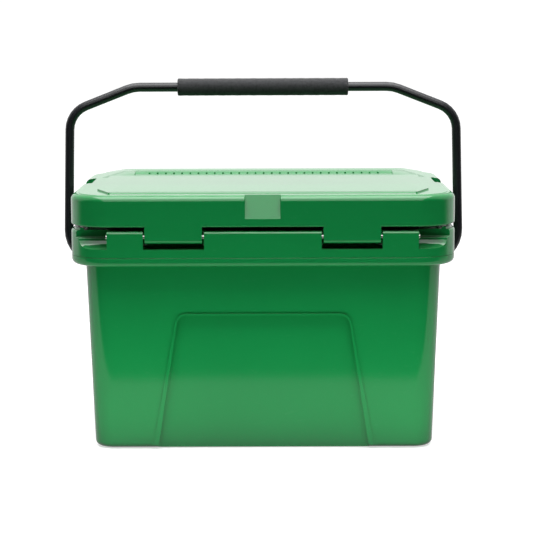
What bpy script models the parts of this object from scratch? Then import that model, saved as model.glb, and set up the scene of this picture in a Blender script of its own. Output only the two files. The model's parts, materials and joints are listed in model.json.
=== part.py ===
"""Hard-sided ice box with a hinged insulated lid, a swinging bail handle and two rubber latches.

Metres. X runs along the width, -Y is the hinge side, +Y the latch side and +Z is up.
The origin is the middle of the footprint, on the floor.
"""

import math

import bmesh
import bpy
from mathutils import Vector

# Fits and smoothness
GAP = 0.0003
CORNER_STEPS = 6
ROUND_STEPS = 4
PIN_SIDES = 16
DISC_SIDES = 24
SHARP_DEGREES = 35

# Plan of the rim and the lid; every level of the box is an inset of this rounded rectangle
RIM_HALF_X = 0.2135
RIM_HALF_Y = 0.150
RIM_CORNER = 0.045
LEAST_CORNER = 0.014

# Body
BASE_Z = 0.001
FLOOR_TOP = 0.007
BASE_INSET = 0.0229
NECK_INSET = 0.0155
BASE_ROUND = 0.006
WALL = 0.0035
FLANGE_BOTTOM = 0.2094
FLANGE_ROUND = 0.006
FLANGE_INSET = 0.0003
SEAM_Z = 0.2195

# Rim frame
RIM_TOP = 0.2486
RIM_ROUND = 0.003
SEAM_CHAMFER = 0.0005
RIM_BAND = 0.024
RIM_PLATE = 0.0056
RABBET_INSET = 0.035
RABBET_Z = 0.2458
MOUTH_WEB = 0.0433
MOUTH_INSET = 0.0463

# Liner of the body
LINER_WALL = 0.0025
LINER_TOP_INSET = 0.0493
LINER_FLOOR_INSET = 0.0553
LINER_FLOOR = 0.035
LINER_ROUND = 0.010

# Lid
LID_BOTTOM = 0.2527
LID_SHOULDER = 0.2805
LID_ROUND = 0.007
LID_STEP = 0.0005
LID_TOP = 0.288
LID_CEILING = 0.2835
LID_EDGE_ROUND = 0.001
LID_BAND = 0.018
LID_LINER_BOTTOM = 0.2530
LID_LINER_TOP = 0.2555
PLUG_BOTTOM = 0.2340
PLUG_INSET = 0.052
PLUG_CHAMFER = 0.003
GASKET_OUT = 0.0385
GASKET_IN = 0.0465

# Raised panel and ruler ridge on the lid
PANEL_TOP = 0.2895
PANEL_HALF_X = 0.186
PANEL_Y = (-0.126, 0.095)
PANEL_CHAMFER = (0.016, 0.040)
RIDGE_TOP = 0.2925
RIDGE_BASE = (0.181, 0.091, 0.146)
RIDGE_CREST = (0.172, 0.108, 0.138)

# Strap notches in the lid
BACK_NOTCH_HALF = 0.0195
BACK_NOTCH_LOW_Z = 0.2616
BACK_NOTCH_DEPTH = 0.0120
SIDE_NOTCH_DEPTH = 0.008
SIDE_NOTCH_Y = (-0.009, 0.054)

# Hinge
HINGE_Y = -0.141
HINGE_Z = 0.242
HINGE_PIN_R = 0.003
HINGE_PIN_X = (0.040, 0.1725)
TAB_X = (0.0664, 0.1292)
TAB_BOTTOM = 0.235
TAB_BACK_Y = -0.1325
TAB_ROUND = 0.005
NOTCH_X = (0.0643, 0.1310)
NOTCH_FLOOR = 0.228
NOTCH_BACK_Y = -0.1285
SCOOP_X = (0.1705, 0.207)
SCOOP_FLOOR = 0.229
SCOOP_BACK_Y = -0.130
SCOOP_ROUND = 0.010

# Recess in the hinge side of the body
RECESS_DEPTH = 0.0045
RECESS_TOP = 0.1545
RECESS_HALF_TOP = 0.096
RECESS_HALF_BOTTOM = 0.120
RECESS_CORNER = 0.012
BACKING_FOOT = 0.001

# Bail
BAIL_Y = -0.015
BAIL_Z = 0.1975
BAIL_R = 0.0053
BAIL_TIP_X = 0.175
BAIL_FOOT = (0.228, BAIL_Z, 0.036)
BAIL_SHOULDER = (0.2232, 0.3715, 0.030)
BAIL_KNEE = (0.150, 0.400, 0.040)
GRIP_HALF = 0.09825
GRIP_R = 0.010
GRIP_BORE = 0.0056
BOSS_R = 0.0118
BOSS_X = (0.181, 0.1984)
BUSH_R = 0.0089
BUSH_BORE = 0.0071
BUSH_FLANGE_R = 0.0108
BUSH_FLANGE = 0.0012
RETAINER_R = 0.010
RETAINER_X = (0.1770, 0.1800)
POCKET_R = 0.0135
POCKET_X = 0.1735

# Latches
LATCH_X = 0.120
LATCH_Y = 0.143
LATCH_Z = 0.230
LATCH_EYE_R = 0.006
LATCH_STRAP = 0.006
LATCH_NECK_HALF = 0.0075
LATCH_HEAD_HALF = 0.016
LATCH_HEAD_U = (0.038, 0.050)
LATCH_HEAD_W = (-0.0085, 0.0005)
LATCH_LIP_HALF = 0.010
LATCH_LIP_U = 0.056
LATCH_PIN_R = 0.002
LATCH_PIN_HALF = 0.022
LATCH_BAY_HALF = 0.0175
LATCH_BAY_Y = 0.1352
LATCH_BAY_LOW = 0.2080
KEEPER_Y = 0.1418
KEEPER_LEDGE = 0.2670
KEEPER_SLOT_HALF = 0.0082

# Feet and fill plugs
FOOT_PLACE = (0.150, 0.090)
FOOT_R = 0.014
FOOT_HEIGHT = 0.0035
FOOT_SEAT = 0.0038
SCREW_HEAD_R = 0.004
SCREW_HEAD_Z = (0.0010, 0.0025)
SCREW_R = 0.002
SCREW_TOP = 0.0120
FILL_PLUG_X = 0.060
FILL_PLUG_R = 0.009
FILL_PLUG_SEAT = 0.0045

OUTSIDE = 0.02


def clear_scene():
    for item in list(bpy.data.objects):
        bpy.data.objects.remove(item, do_unlink=True)


def make_material(name, colour, roughness, metallic=0.0):
    material = bpy.data.materials.new(name)
    material.use_nodes = True
    shader = material.node_tree.nodes["Principled BSDF"]
    shader.inputs["Base Color"].default_value = (*colour, 1.0)
    shader.inputs["Roughness"].default_value = roughness
    shader.inputs["Metallic"].default_value = metallic
    material.diffuse_color = (*colour, 1.0)
    return material


def arc(centre, radius, start, end, steps=ROUND_STEPS):
    """Points of an arc in a plane, from start to end in degrees."""
    turns = [math.radians(start + (end - start) * step / steps) for step in range(steps + 1)]
    return [(centre[0] + radius * math.cos(a), centre[1] + radius * math.sin(a)) for a in turns]


def circle(centre, radius, sides=PIN_SIDES):
    return arc(centre, radius, 0, 360, sides)[:-1]


def rectangle(low_u, low_v, high_u, high_v):
    return [(low_u, low_v), (high_u, low_v), (high_u, high_v), (low_u, high_v)]


def mirrored(span, side):
    return sorted((side * span[0], side * span[1]))


def plan_ring(inset, z):
    """The rim's rounded rectangle, drawn in by inset, at height z."""
    corner = max(RIM_CORNER - inset, LEAST_CORNER)
    half = (RIM_HALF_X - inset - corner, RIM_HALF_Y - inset - corner)
    points = []
    for turn, (side_x, side_y) in enumerate(((1, 1), (-1, 1), (-1, -1), (1, -1))):
        centre = (side_x * half[0], side_y * half[1])
        for x, y in arc(centre, corner, 90 * turn, 90 * turn + 90, CORNER_STEPS):
            points.append(Vector((x, y, z)))
    return points


def join_rings(mesh, rings, closed):
    """Faces between the rings in order; the ends are capped, or joined to each other when closed."""
    loops = [[mesh.verts.new(point) for point in ring] for ring in rings]
    pairs = list(zip(loops, loops[1:]))
    if closed:
        pairs.append((loops[-1], loops[0]))
    for first, second in pairs:
        for here in range(len(first)):
            after = (here + 1) % len(first)
            mesh.faces.new((first[here], first[after], second[after], second[here]))
    if not closed:
        mesh.faces.new(list(reversed(loops[0])))
        mesh.faces.new(loops[-1])


def add_prism(mesh, axis, outline, start, end):
    """A closed prism: the outline lies in the plane across the axis, in X, Y, Z order."""
    place = {
        "X": lambda u, v, t: Vector((t, u, v)),
        "Y": lambda u, v, t: Vector((u, t, v)),
        "Z": lambda u, v, t: Vector((u, v, t)),
    }[axis]
    rings = [[place(u, v, t) for u, v in outline] for t in (start, end)]
    held = set(mesh.faces)
    join_rings(mesh, rings, closed=False)
    bmesh.ops.recalc_face_normals(mesh, faces=[face for face in mesh.faces if face not in held])


def add_object(name, mesh, material=None):
    data = bpy.data.meshes.new(name)
    mesh.to_mesh(data)
    mesh.free()
    data.shade_smooth()
    data.set_sharp_from_angle(angle=math.radians(SHARP_DEGREES))
    item = bpy.data.objects.new(name, data)
    bpy.context.scene.collection.objects.link(item)
    if material:
        data.materials.append(material)
    return item


def add_frame(name, profile, material, closed=False):
    """A body whose levels are insets of the plan; the profile lists (inset, z)."""
    mesh = bmesh.new()
    join_rings(mesh, [plan_ring(inset, z) for inset, z in profile], closed)
    return add_object(name, mesh, material)


def add_prisms(name, prisms, material=None):
    mesh = bmesh.new()
    for prism in prisms:
        add_prism(mesh, *prism)
    return add_object(name, mesh, material)


def combine(item, tool, operation):
    """Cuts the item with the tool, or joins the tool to it."""
    tool.hide_render = True
    tool.display_type = "WIRE"
    step = item.modifiers.new(operation.title(), "BOOLEAN")
    step.operation = operation
    step.solver = "EXACT"
    step.object = tool


def cut(item, prisms):
    combine(item, add_prisms(item.name + "_cutter", prisms), "DIFFERENCE")


def join(item, prisms):
    combine(item, add_prisms(item.name + "_addition", prisms), "UNION")


def add_axis(name, place):
    """An empty on a joint's axis, for the pieces that turn about it."""
    axis = bpy.data.objects.new(name, None)
    axis.location = place
    axis.empty_display_size = 0.03
    bpy.context.scene.collection.objects.link(axis)
    return axis


def hang(items, axis):
    """Parents the items to the axis, without moving them."""
    for item in items:
        item.parent = axis
        item.location = -axis.location


def liner_outside():
    """Outer line of the liner's tub, from its floor up: (inset, z)."""
    low = (LINER_FLOOR_INSET - LINER_WALL, LINER_FLOOR - LINER_WALL)
    turn = arc((low[0] + LINER_ROUND, low[1] + LINER_ROUND), LINER_ROUND, 270, 180)
    return [*turn, (LINER_TOP_INSET - LINER_WALL, RABBET_Z + GAP)]


def make_body_shell(material):
    round_centre = (BASE_INSET + BASE_ROUND, BASE_Z + BASE_ROUND)
    flange_centre = (FLANGE_INSET + FLANGE_ROUND, FLANGE_BOTTOM + FLANGE_ROUND)
    profile = [
        *arc(round_centre, BASE_ROUND, 270, 180),
        (NECK_INSET, FLANGE_BOTTOM),
        *arc(flange_centre, FLANGE_ROUND, 270, 180),
        (FLANGE_INSET, SEAM_Z - GAP),
        (NECK_INSET + WALL, SEAM_Z - GAP),
        (BASE_INSET + WALL, FLOOR_TOP),
    ]
    shell = add_frame("body_shell", profile, material)
    bosses = []
    for side in (-1, 1):
        bosses.append(("X", circle((BAIL_Y, BAIL_Z), BOSS_R, DISC_SIDES), *mirrored(BOSS_X, side)))
    join(shell, bosses)
    combine(shell, make_recess_backing("body_shell_backing", 0.0), "UNION")
    recess = make_wall_slab("body_shell_recess", recess_outline(0.0), -OUTSIDE, RECESS_DEPTH)
    combine(shell, recess, "DIFFERENCE")
    cuts = []
    for side in (-1, 1):
        across = mirrored((BOSS_X[0] - OUTSIDE, BOSS_X[1] + OUTSIDE), side)
        cuts.append(("X", circle((BAIL_Y, BAIL_Z), BUSH_R + GAP, DISC_SIDES), *across))
        bay = (side * LATCH_X - LATCH_BAY_HALF, side * LATCH_X + LATCH_BAY_HALF)
        bay_outline = rectangle(LATCH_BAY_Y, LATCH_BAY_LOW, RIM_HALF_Y + OUTSIDE, SEAM_Z + OUTSIDE)
        cuts.append(("X", bay_outline, *bay))
        plug_ring = circle((side * FILL_PLUG_X, 0), FILL_PLUG_R + GAP, DISC_SIDES)
        cuts.append(("Z", plug_ring, -OUTSIDE, FILL_PLUG_SEAT))
    bores = []
    for place in foot_places():
        cuts.append(("Z", circle(place, FOOT_R + GAP, DISC_SIDES), -OUTSIDE, FOOT_SEAT))
        bores.append(("Z", circle(place, SCREW_R + GAP), -OUTSIDE, OUTSIDE))
    cut(shell, cuts)
    combine(shell, add_prisms("body_shell_bores", bores), "DIFFERENCE")
    return shell


def recess_outline(margin):
    """Tapered outline with round upper corners, grown by a margin and open at its foot: (x, z)."""
    run = RECESS_HALF_BOTTOM - RECESS_HALF_TOP
    lean = math.degrees(math.atan2(run, RECESS_TOP))
    centre = (RECESS_HALF_TOP - RECESS_CORNER, RECESS_TOP - RECESS_CORNER)
    corner = arc(centre, RECESS_CORNER + margin, lean, 90)
    foot = RECESS_HALF_BOTTOM + margin + run * OUTSIDE / RECESS_TOP
    right = [(foot, -OUTSIDE), *corner]
    return right + [(-x, z) for x, z in reversed(right)]


def wall_y(z):
    """Outer face of the hinge-side wall, which leans with the mould's draft."""
    share = (z - BASE_Z) / (FLANGE_BOTTOM - BASE_Z)
    return BASE_INSET + (NECK_INSET - BASE_INSET) * share - RIM_HALF_Y


def make_wall_slab(name, outline, near, far):
    """A slab that follows the leaning hinge-side wall, from near to far behind its outer face."""
    rings = [[Vector((x, wall_y(z) + depth, z)) for x, z in outline] for depth in (near, far)]
    mesh = bmesh.new()
    join_rings(mesh, rings, closed=False)
    bmesh.ops.recalc_face_normals(mesh, faces=mesh.faces[:])
    return add_object(name, mesh)


def make_recess_backing(name, margin):
    """The wall behind the recess, set in by its depth; it starts inside the floor."""
    outline = []
    for x, z in recess_outline(WALL + margin):
        outline.append((x, max(z, FLOOR_TOP - BACKING_FOOT)))
    return make_wall_slab(name, outline, WALL - BACKING_FOOT, RECESS_DEPTH + WALL + margin)


def foot_places():
    return [(sx * FOOT_PLACE[0], sy * FOOT_PLACE[1]) for sx in (-1, 1) for sy in (-1, 1)]


def make_body_rim(material):
    top_centre = (RIM_ROUND, RIM_TOP - RIM_ROUND)
    profile = [
        (SEAM_CHAMFER, SEAM_Z),
        (0.0, SEAM_Z + SEAM_CHAMFER),
        *arc(top_centre, RIM_ROUND, 180, 90),
        (RABBET_INSET, RIM_TOP),
        (RABBET_INSET, RABBET_Z),
        (MOUTH_INSET, RABBET_Z),
        (MOUTH_INSET, SEAM_Z),
        (MOUTH_WEB, SEAM_Z),
        (MOUTH_WEB, RIM_TOP - RIM_PLATE),
        (RIM_BAND, RIM_TOP - RIM_PLATE),
        (RIM_BAND, SEAM_Z),
    ]
    rim = add_frame("body_rim", profile, material, closed=True)
    far = -RIM_HALF_Y - OUTSIDE
    cuts = []
    for side in (-1, 1):
        notch = rectangle(far, NOTCH_FLOOR, NOTCH_BACK_Y, RIM_TOP + OUTSIDE)
        cuts.append(("X", notch, *mirrored(NOTCH_X, side)))
        bay = (side * LATCH_X - LATCH_BAY_HALF, side * LATCH_X + LATCH_BAY_HALF)
        bay_outline = rectangle(LATCH_BAY_Y, SEAM_Z - OUTSIDE, RIM_HALF_Y + OUTSIDE, RIM_TOP + OUTSIDE)
        cuts.append(("X", bay_outline, *bay))
        cuts.append(("Y", scoop_outline(side), far, SCOOP_BACK_Y))
    cut(rim, cuts)
    holes = []
    for side in (-1, 1):
        bore = circle((HINGE_Y, HINGE_Z), HINGE_PIN_R + GAP)
        holes.append(("X", bore, *mirrored((HINGE_PIN_X[0] - GAP, SCOOP_X[0] + GAP), side)))
        pin = (side * LATCH_X - LATCH_PIN_HALF - GAP, side * LATCH_X + LATCH_PIN_HALF + GAP)
        holes.append(("X", circle((LATCH_Y, LATCH_Z), LATCH_PIN_R + GAP), *pin))
    combine(rim, add_prisms("body_rim_bores", holes), "DIFFERENCE")
    return rim


def scoop_outline(side):
    """Outline of a corner scoop, with its lower outer corner rounded: (x, z)."""
    turn = arc((SCOOP_X[1] - SCOOP_ROUND, SCOOP_FLOOR + SCOOP_ROUND), SCOOP_ROUND, 270, 360)
    high = RIM_TOP + OUTSIDE
    outline = [(SCOOP_X[0], SCOOP_FLOOR), *turn, (SCOOP_X[1], high), (SCOOP_X[0], high)]
    return [(side * x, z) for x, z in outline]


def make_body_liner(material):
    floor_turn = arc(
        (LINER_FLOOR_INSET + LINER_ROUND, LINER_FLOOR + LINER_ROUND), LINER_ROUND, 180, 270
    )
    lip = RABBET_INSET + GAP
    profile = [
        *liner_outside(),
        (lip, RABBET_Z + GAP),
        (lip, RIM_TOP),
        (LINER_TOP_INSET, RIM_TOP),
        *floor_turn,
    ]
    return add_frame("body_liner", profile, material)


def make_body_foam(material):
    inner = [(inset - GAP, z - GAP) for inset, z in liner_outside()]
    low, high = inner[-2], inner[-1]
    top_z = SEAM_Z - GAP
    share = (top_z - low[1]) / (high[1] - low[1])
    inner[-1] = (low[0] + (high[0] - low[0]) * share, top_z)
    channel_z = RIM_TOP - RIM_PLATE - GAP
    profile = [
        (BASE_INSET + WALL + GAP, FLOOR_TOP + GAP),
        (NECK_INSET + WALL + GAP, top_z),
        (RIM_BAND + GAP, top_z),
        (RIM_BAND + GAP, channel_z),
        (MOUTH_WEB - GAP, channel_z),
        (MOUTH_WEB - GAP, top_z),
        *reversed(inner),
    ]
    foam = add_frame("body_foam", profile, material)
    cuts = []
    for side in (-1, 1):
        pocket = circle((BAIL_Y, BAIL_Z), POCKET_R + GAP, DISC_SIDES)
        cuts.append(("X", pocket, *mirrored((POCKET_X, RIM_HALF_X), side)))
    for x, y in foot_places():
        cuts.append(("Z", circle((x, y), SCREW_R * 2), 0, SCREW_TOP + GAP))
    cut(foam, cuts)
    combine(foam, make_recess_backing("body_foam_relief", GAP), "DIFFERENCE")
    return foam


def make_lid_shell(material):
    edge_centre = (LID_EDGE_ROUND, LID_BOTTOM + LID_EDGE_ROUND)
    top_centre = (LID_ROUND, LID_SHOULDER)
    profile = [
        (LID_BAND, LID_CEILING),
        (LID_BAND, LID_BOTTOM),
        *arc(edge_centre, LID_EDGE_ROUND, 270, 180, 2),
        *arc(top_centre, LID_ROUND, 180, 90),
        (LID_ROUND + LID_STEP * 3, LID_TOP - LID_STEP),
        (LID_ROUND + LID_STEP * 4, LID_TOP),
    ]
    shell = add_frame("lid_shell", profile, material)
    mesh = bmesh.new()
    for side in (-1, 1):
        add_prism(mesh, "X", tab_outline(), *mirrored(TAB_X, side))
    add_prism(mesh, "Z", panel_outline(), LID_TOP - LID_STEP, PANEL_TOP)
    combine(shell, add_object("lid_shell_addition", mesh), "UNION")
    combine(shell, make_ridge(), "UNION")
    far = -RIM_HALF_Y - OUTSIDE
    slope = BACK_NOTCH_DEPTH / (LID_TOP - BACK_NOTCH_LOW_Z)
    high = LID_TOP + OUTSIDE
    wedge = [
        (-RIM_HALF_Y - slope * OUTSIDE, BACK_NOTCH_LOW_Z - OUTSIDE),
        (-RIM_HALF_Y + slope * (high - BACK_NOTCH_LOW_Z), high),
        (far, high),
        (far, BACK_NOTCH_LOW_Z - OUTSIDE),
    ]
    cuts = [("X", wedge, -BACK_NOTCH_HALF, BACK_NOTCH_HALF)]
    for side in (-1, 1):
        reach = mirrored((RIM_HALF_X - SIDE_NOTCH_DEPTH, RIM_HALF_X + OUTSIDE), side)
        slot = rectangle(SIDE_NOTCH_Y[0], LID_BOTTOM - OUTSIDE, SIDE_NOTCH_Y[1], high)
        cuts.append(("X", slot, *reach))
        cuts.append(("Y", keeper_outline(side * LATCH_X), KEEPER_Y, RIM_HALF_Y + OUTSIDE))
        bore = circle((HINGE_Y, HINGE_Z), HINGE_PIN_R + GAP)
        cuts.append(("X", bore, *mirrored((TAB_X[0] - GAP, TAB_X[1] + GAP), side)))
    cut(shell, cuts)
    return shell


def tab_outline():
    """Section of a hinge tab, with its lower edges rounded: (y, z)."""
    outer = arc((-RIM_HALF_Y + TAB_ROUND, TAB_BOTTOM + TAB_ROUND), TAB_ROUND, 180, 270)
    inner = arc((TAB_BACK_Y - TAB_ROUND, TAB_BOTTOM + TAB_ROUND), TAB_ROUND, 270, 360)
    root = LID_BOTTOM + LID_EDGE_ROUND * 2
    return [(-RIM_HALF_Y, root), *outer, *inner, (TAB_BACK_Y, root)]


def panel_outline():
    """Plan of the raised panel, with its hinge-side corners cut off: (x, y)."""
    low, high = PANEL_Y
    side, run = PANEL_CHAMFER
    right = [(PANEL_HALF_X - side, low), (PANEL_HALF_X, low + run), (PANEL_HALF_X, high)]
    return right + [(-x, y) for x, y in reversed(right)]


def make_ridge():
    """The ridge along the latch side that carries the ruler, with four sloping sides."""
    rings = []
    for (half, low, high), z in ((RIDGE_BASE, LID_TOP - LID_STEP), (RIDGE_CREST, RIDGE_TOP)):
        rings.append([Vector((x, y, z)) for x, y in rectangle(-half, low, half, high)])
    mesh = bmesh.new()
    join_rings(mesh, rings, closed=False)
    return add_object("lid_ridge_addition", mesh)


def keeper_outline(x):
    """T-shaped slot for a latch's neck and head: (x, z)."""
    neck = KEEPER_SLOT_HALF
    head = LATCH_BAY_HALF
    high = LID_TOP + OUTSIDE
    right = [(neck, LID_BOTTOM - OUTSIDE), (neck, KEEPER_LEDGE), (head, KEEPER_LEDGE), (head, high)]
    return [(x + u, v) for u, v in right] + [(x - u, v) for u, v in reversed(right)]


def make_lid_liner(material):
    wall = LINER_WALL
    flange = LID_BAND + GAP
    profile = [
        (PLUG_INSET + PLUG_CHAMFER * 2, PLUG_BOTTOM),
        (PLUG_INSET, PLUG_BOTTOM + PLUG_CHAMFER),
        (PLUG_INSET, LID_LINER_BOTTOM),
        (flange, LID_LINER_BOTTOM),
        (flange, LID_LINER_TOP),
        (PLUG_INSET + wall, LID_LINER_TOP),
        (PLUG_INSET + wall, PLUG_BOTTOM + PLUG_CHAMFER + wall / 2),
        (PLUG_INSET + PLUG_CHAMFER * 2, PLUG_BOTTOM + wall),
    ]
    return add_frame("lid_liner", profile, material)


def make_lid_foam(material):
    wall = LINER_WALL + GAP
    profile = [
        (PLUG_INSET + PLUG_CHAMFER * 2 + GAP, PLUG_BOTTOM + wall),
        (PLUG_INSET + wall, PLUG_BOTTOM + PLUG_CHAMFER + wall),
        (PLUG_INSET + wall, LID_LINER_TOP + GAP),
        (LID_BAND + GAP, LID_LINER_TOP + GAP),
        (LID_BAND + GAP, LID_CEILING - GAP),
    ]
    return add_frame("lid_foam", profile, material)


def make_lid_gasket(material):
    low = RIM_TOP + GAP
    high = LID_LINER_BOTTOM - GAP
    profile = [(GASKET_IN, low), (GASKET_OUT, low), (GASKET_OUT, high), (GASKET_IN, high)]
    return add_frame("lid_gasket", profile, material, closed=True)


def make_hinge_pin(name, side, material):
    span = mirrored(HINGE_PIN_X, side)
    return add_prisms(name, [("X", circle((HINGE_Y, HINGE_Z), HINGE_PIN_R), *span)], material)


def bail_corners():
    """The bail's corners from tip to tip, each (x, z, bend radius)."""
    right = [(BAIL_TIP_X, BAIL_Z, 0.0), BAIL_FOOT, BAIL_SHOULDER, BAIL_KNEE]
    left = [(-x, z, radius) for x, z, radius in right]
    return left + right[::-1]


def rounded_path(corners, steps):
    """Points along straight runs, with an arc of its own radius at each inner corner."""
    path = [Vector(corners[0][:2])]
    for before, corner, after in zip(corners, corners[1:], corners[2:]):
        here = Vector(corner[:2])
        back = (Vector(before[:2]) - here).normalized()
        ahead = (Vector(after[:2]) - here).normalized()
        half = back.angle(ahead) / 2
        middle = here + (back + ahead).normalized() * corner[2] / math.sin(half)
        start = here + back * corner[2] / math.tan(half) - middle
        turn = -start.angle_signed(here + ahead * corner[2] / math.tan(half) - middle)
        for step in range(steps + 1):
            angle = turn * step / steps
            spoke = Vector((
                start.x * math.cos(angle) - start.y * math.sin(angle),
                start.x * math.sin(angle) + start.y * math.cos(angle),
            ))
            path.append(middle + spoke)
    path.append(Vector(corners[-1][:2]))
    return path


def make_bail_handle(material):
    points = rounded_path(bail_corners(), CORNER_STEPS)
    curve = bpy.data.curves.new("bail_handle", "CURVE")
    curve.dimensions = "3D"
    curve.bevel_depth = BAIL_R
    curve.bevel_resolution = 4
    curve.use_fill_caps = True
    spline = curve.splines.new("POLY")
    spline.points.add(len(points) - 1)
    for knot, point in zip(spline.points, points):
        knot.co = (point.x, BAIL_Y, point.y, 1.0)
    curve.materials.append(material)
    bail = bpy.data.objects.new("bail_handle", curve)
    bpy.context.scene.collection.objects.link(bail)
    return bail


def add_sleeve(name, sections, place, material):
    """A turned ring about an X axis; the sections list (x, radius) round its closed profile."""
    rings = []
    for x, radius in sections:
        rings.append([Vector((x, y, z)) for y, z in circle(place, radius, DISC_SIDES)])
    mesh = bmesh.new()
    join_rings(mesh, rings, closed=True)
    bmesh.ops.recalc_face_normals(mesh, faces=mesh.faces[:])
    return add_object(name, mesh, material)


def make_bail_grip(material):
    half = GRIP_HALF
    sections = [(-half, GRIP_BORE), (-half, GRIP_R), (half, GRIP_R), (half, GRIP_BORE)]
    return add_sleeve("bail_grip", sections, (BAIL_Y, BAIL_KNEE[1]), material)


def make_bail_bush(name, side, material):
    inner, outer = BOSS_X
    seat = outer + GAP
    sections = [
        (side * inner, BUSH_BORE),
        (side * inner, BUSH_R),
        (side * seat, BUSH_R),
        (side * seat, BUSH_FLANGE_R),
        (side * (seat + BUSH_FLANGE), BUSH_FLANGE_R),
        (side * (seat + BUSH_FLANGE), BUSH_BORE),
    ]
    return add_sleeve(name, sections, (BAIL_Y, BAIL_Z), material)


def make_bail_retainer(name, side, material):
    inner, outer = (side * x for x in RETAINER_X)
    bore = BAIL_R + GAP
    sections = [(inner, bore), (inner, RETAINER_R), (outer, RETAINER_R), (outer, bore)]
    return add_sleeve(name, sections, (BAIL_Y, BAIL_Z), material)


def make_latch(name, side, material):
    """A rubber latch, hanging from its pin: an eye, a neck, a cross head and a pull lip."""
    x = side * LATCH_X
    neck_end = LATCH_HEAD_U[0] + LATCH_STRAP / 2
    eye = arc((LATCH_Y, LATCH_Z), LATCH_EYE_R, 0, 180, PIN_SIDES // 2)
    neck = [*eye, (LATCH_Y - LATCH_STRAP, LATCH_Z - neck_end), (LATCH_Y, LATCH_Z - neck_end)]
    neck.append((LATCH_Y + GAP, LATCH_Z - LATCH_EYE_R))
    latch = add_prisms(name, [("X", neck, x - LATCH_NECK_HALF, x + LATCH_NECK_HALF)], material)
    head = rectangle(
        LATCH_Y + LATCH_HEAD_W[0],
        LATCH_Z - LATCH_HEAD_U[1],
        LATCH_Y + LATCH_HEAD_W[1],
        LATCH_Z - LATCH_HEAD_U[0],
    )
    join(latch, [("X", head, x - LATCH_HEAD_HALF, x + LATCH_HEAD_HALF)])
    lip = [
        (LATCH_Y - LATCH_STRAP, LATCH_Z - LATCH_HEAD_U[1] + LATCH_STRAP / 2),
        (LATCH_Y - LATCH_STRAP / 2, LATCH_Z - LATCH_LIP_U),
        (LATCH_Y, LATCH_Z - LATCH_LIP_U),
        (LATCH_Y - LATCH_STRAP / 4, LATCH_Z - LATCH_HEAD_U[1] + LATCH_STRAP / 2),
    ]
    pull = add_prisms(name + "_lip", [("X", lip, x - LATCH_LIP_HALF, x + LATCH_LIP_HALF)])
    combine(latch, pull, "UNION")
    reach = LATCH_NECK_HALF + OUTSIDE
    cut(latch, [("X", circle((LATCH_Y, LATCH_Z), LATCH_PIN_R + GAP), x - reach, x + reach)])
    return latch


def make_latch_pin(name, side, material):
    x = side * LATCH_X
    rod = ("X", circle((LATCH_Y, LATCH_Z), LATCH_PIN_R), x - LATCH_PIN_HALF, x + LATCH_PIN_HALF)
    return add_prisms(name, [rod], material)


def make_foot(name, place, material):
    foot = add_prisms(name, [("Z", circle(place, FOOT_R, DISC_SIDES), 0.0, FOOT_HEIGHT)], material)
    cut(foot, [("Z", circle(place, SCREW_HEAD_R + GAP), -OUTSIDE, SCREW_HEAD_Z[1] + GAP)])
    bore = ("Z", circle(place, SCREW_R + GAP), -OUTSIDE, OUTSIDE)
    combine(foot, add_prisms(name + "_bore", [bore]), "DIFFERENCE")
    return foot


def make_foot_screw(name, place, material):
    mesh = bmesh.new()
    rings = []
    low, high = SCREW_HEAD_Z
    for radius, z in ((SCREW_HEAD_R, low), (SCREW_HEAD_R, high), (SCREW_R, high), (SCREW_R, SCREW_TOP)):
        rings.append([Vector((x, y, z)) for x, y in circle(place, radius)])
    join_rings(mesh, rings, closed=False)
    return add_object(name, mesh, material)


def make_fill_plug(name, side, material):
    place = (side * FILL_PLUG_X, 0.0)
    disc = ("Z", circle(place, FILL_PLUG_R, DISC_SIDES), BASE_Z, FILL_PLUG_SEAT - GAP)
    return add_prisms(name, [disc], material)


def main():
    clear_scene()
    green = make_material("green_plastic", (0.015, 0.26, 0.075), 0.25)
    white = make_material("white_liner", (0.82, 0.83, 0.82), 0.35)
    foam = make_material("insulation_foam", (0.80, 0.72, 0.48), 0.9)
    rubber = make_material("black_rubber", (0.02, 0.02, 0.022), 0.6)
    grip_foam = make_material("grip_foam", (0.022, 0.022, 0.025), 0.9)
    paint = make_material("black_paint", (0.012, 0.013, 0.015), 0.35)
    steel = make_material("bright_steel", (0.62, 0.62, 0.60), 0.3, 1.0)
    nylon = make_material("black_nylon", (0.02, 0.02, 0.02), 0.45)

    make_body_shell(green)
    make_body_rim(green)
    make_body_liner(white)
    make_body_foam(foam)
    for place in foot_places():
        name = ("front" if place[1] > 0 else "rear") + ("_right" if place[0] > 0 else "_left")
        make_foot("foot_" + name, place, rubber)
        make_foot_screw("foot_screw_" + name, place, steel)

    hinge_axis = add_axis("hinge_axis", Vector((0.0, HINGE_Y, HINGE_Z)))
    lid = [make_lid_shell(green), make_lid_liner(white), make_lid_foam(foam), make_lid_gasket(rubber)]
    hang(lid, hinge_axis)

    bail_axis = add_axis("bail_axis", Vector((0.0, BAIL_Y, BAIL_Z)))
    bail = [make_bail_handle(paint), make_bail_grip(grip_foam)]
    for side, word in ((-1, "left"), (1, "right")):
        make_hinge_pin("hinge_pin_" + word, side, steel)
        make_fill_plug("fill_plug_" + word, side, nylon)
        make_latch_pin("latch_pin_" + word, side, steel)
        bail.append(make_bail_bush("bail_bush_" + word, side, nylon))
        bail.append(make_bail_retainer("bail_retainer_" + word, side, steel))
        latch_axis = add_axis("latch_axis_" + word, Vector((side * LATCH_X, LATCH_Y, LATCH_Z)))
        hang([make_latch("latch_" + word, side, rubber)], latch_axis)
    hang(bail, bail_axis)


main()
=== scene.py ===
"""Looks of a hard-sided ice box: moulded shells, tub, lid, bail handle, latches and the studio.

Metres. X runs along the width, -Y is the hinge side, +Y the latch side and +Z is up.
"""

import json
import math

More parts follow.
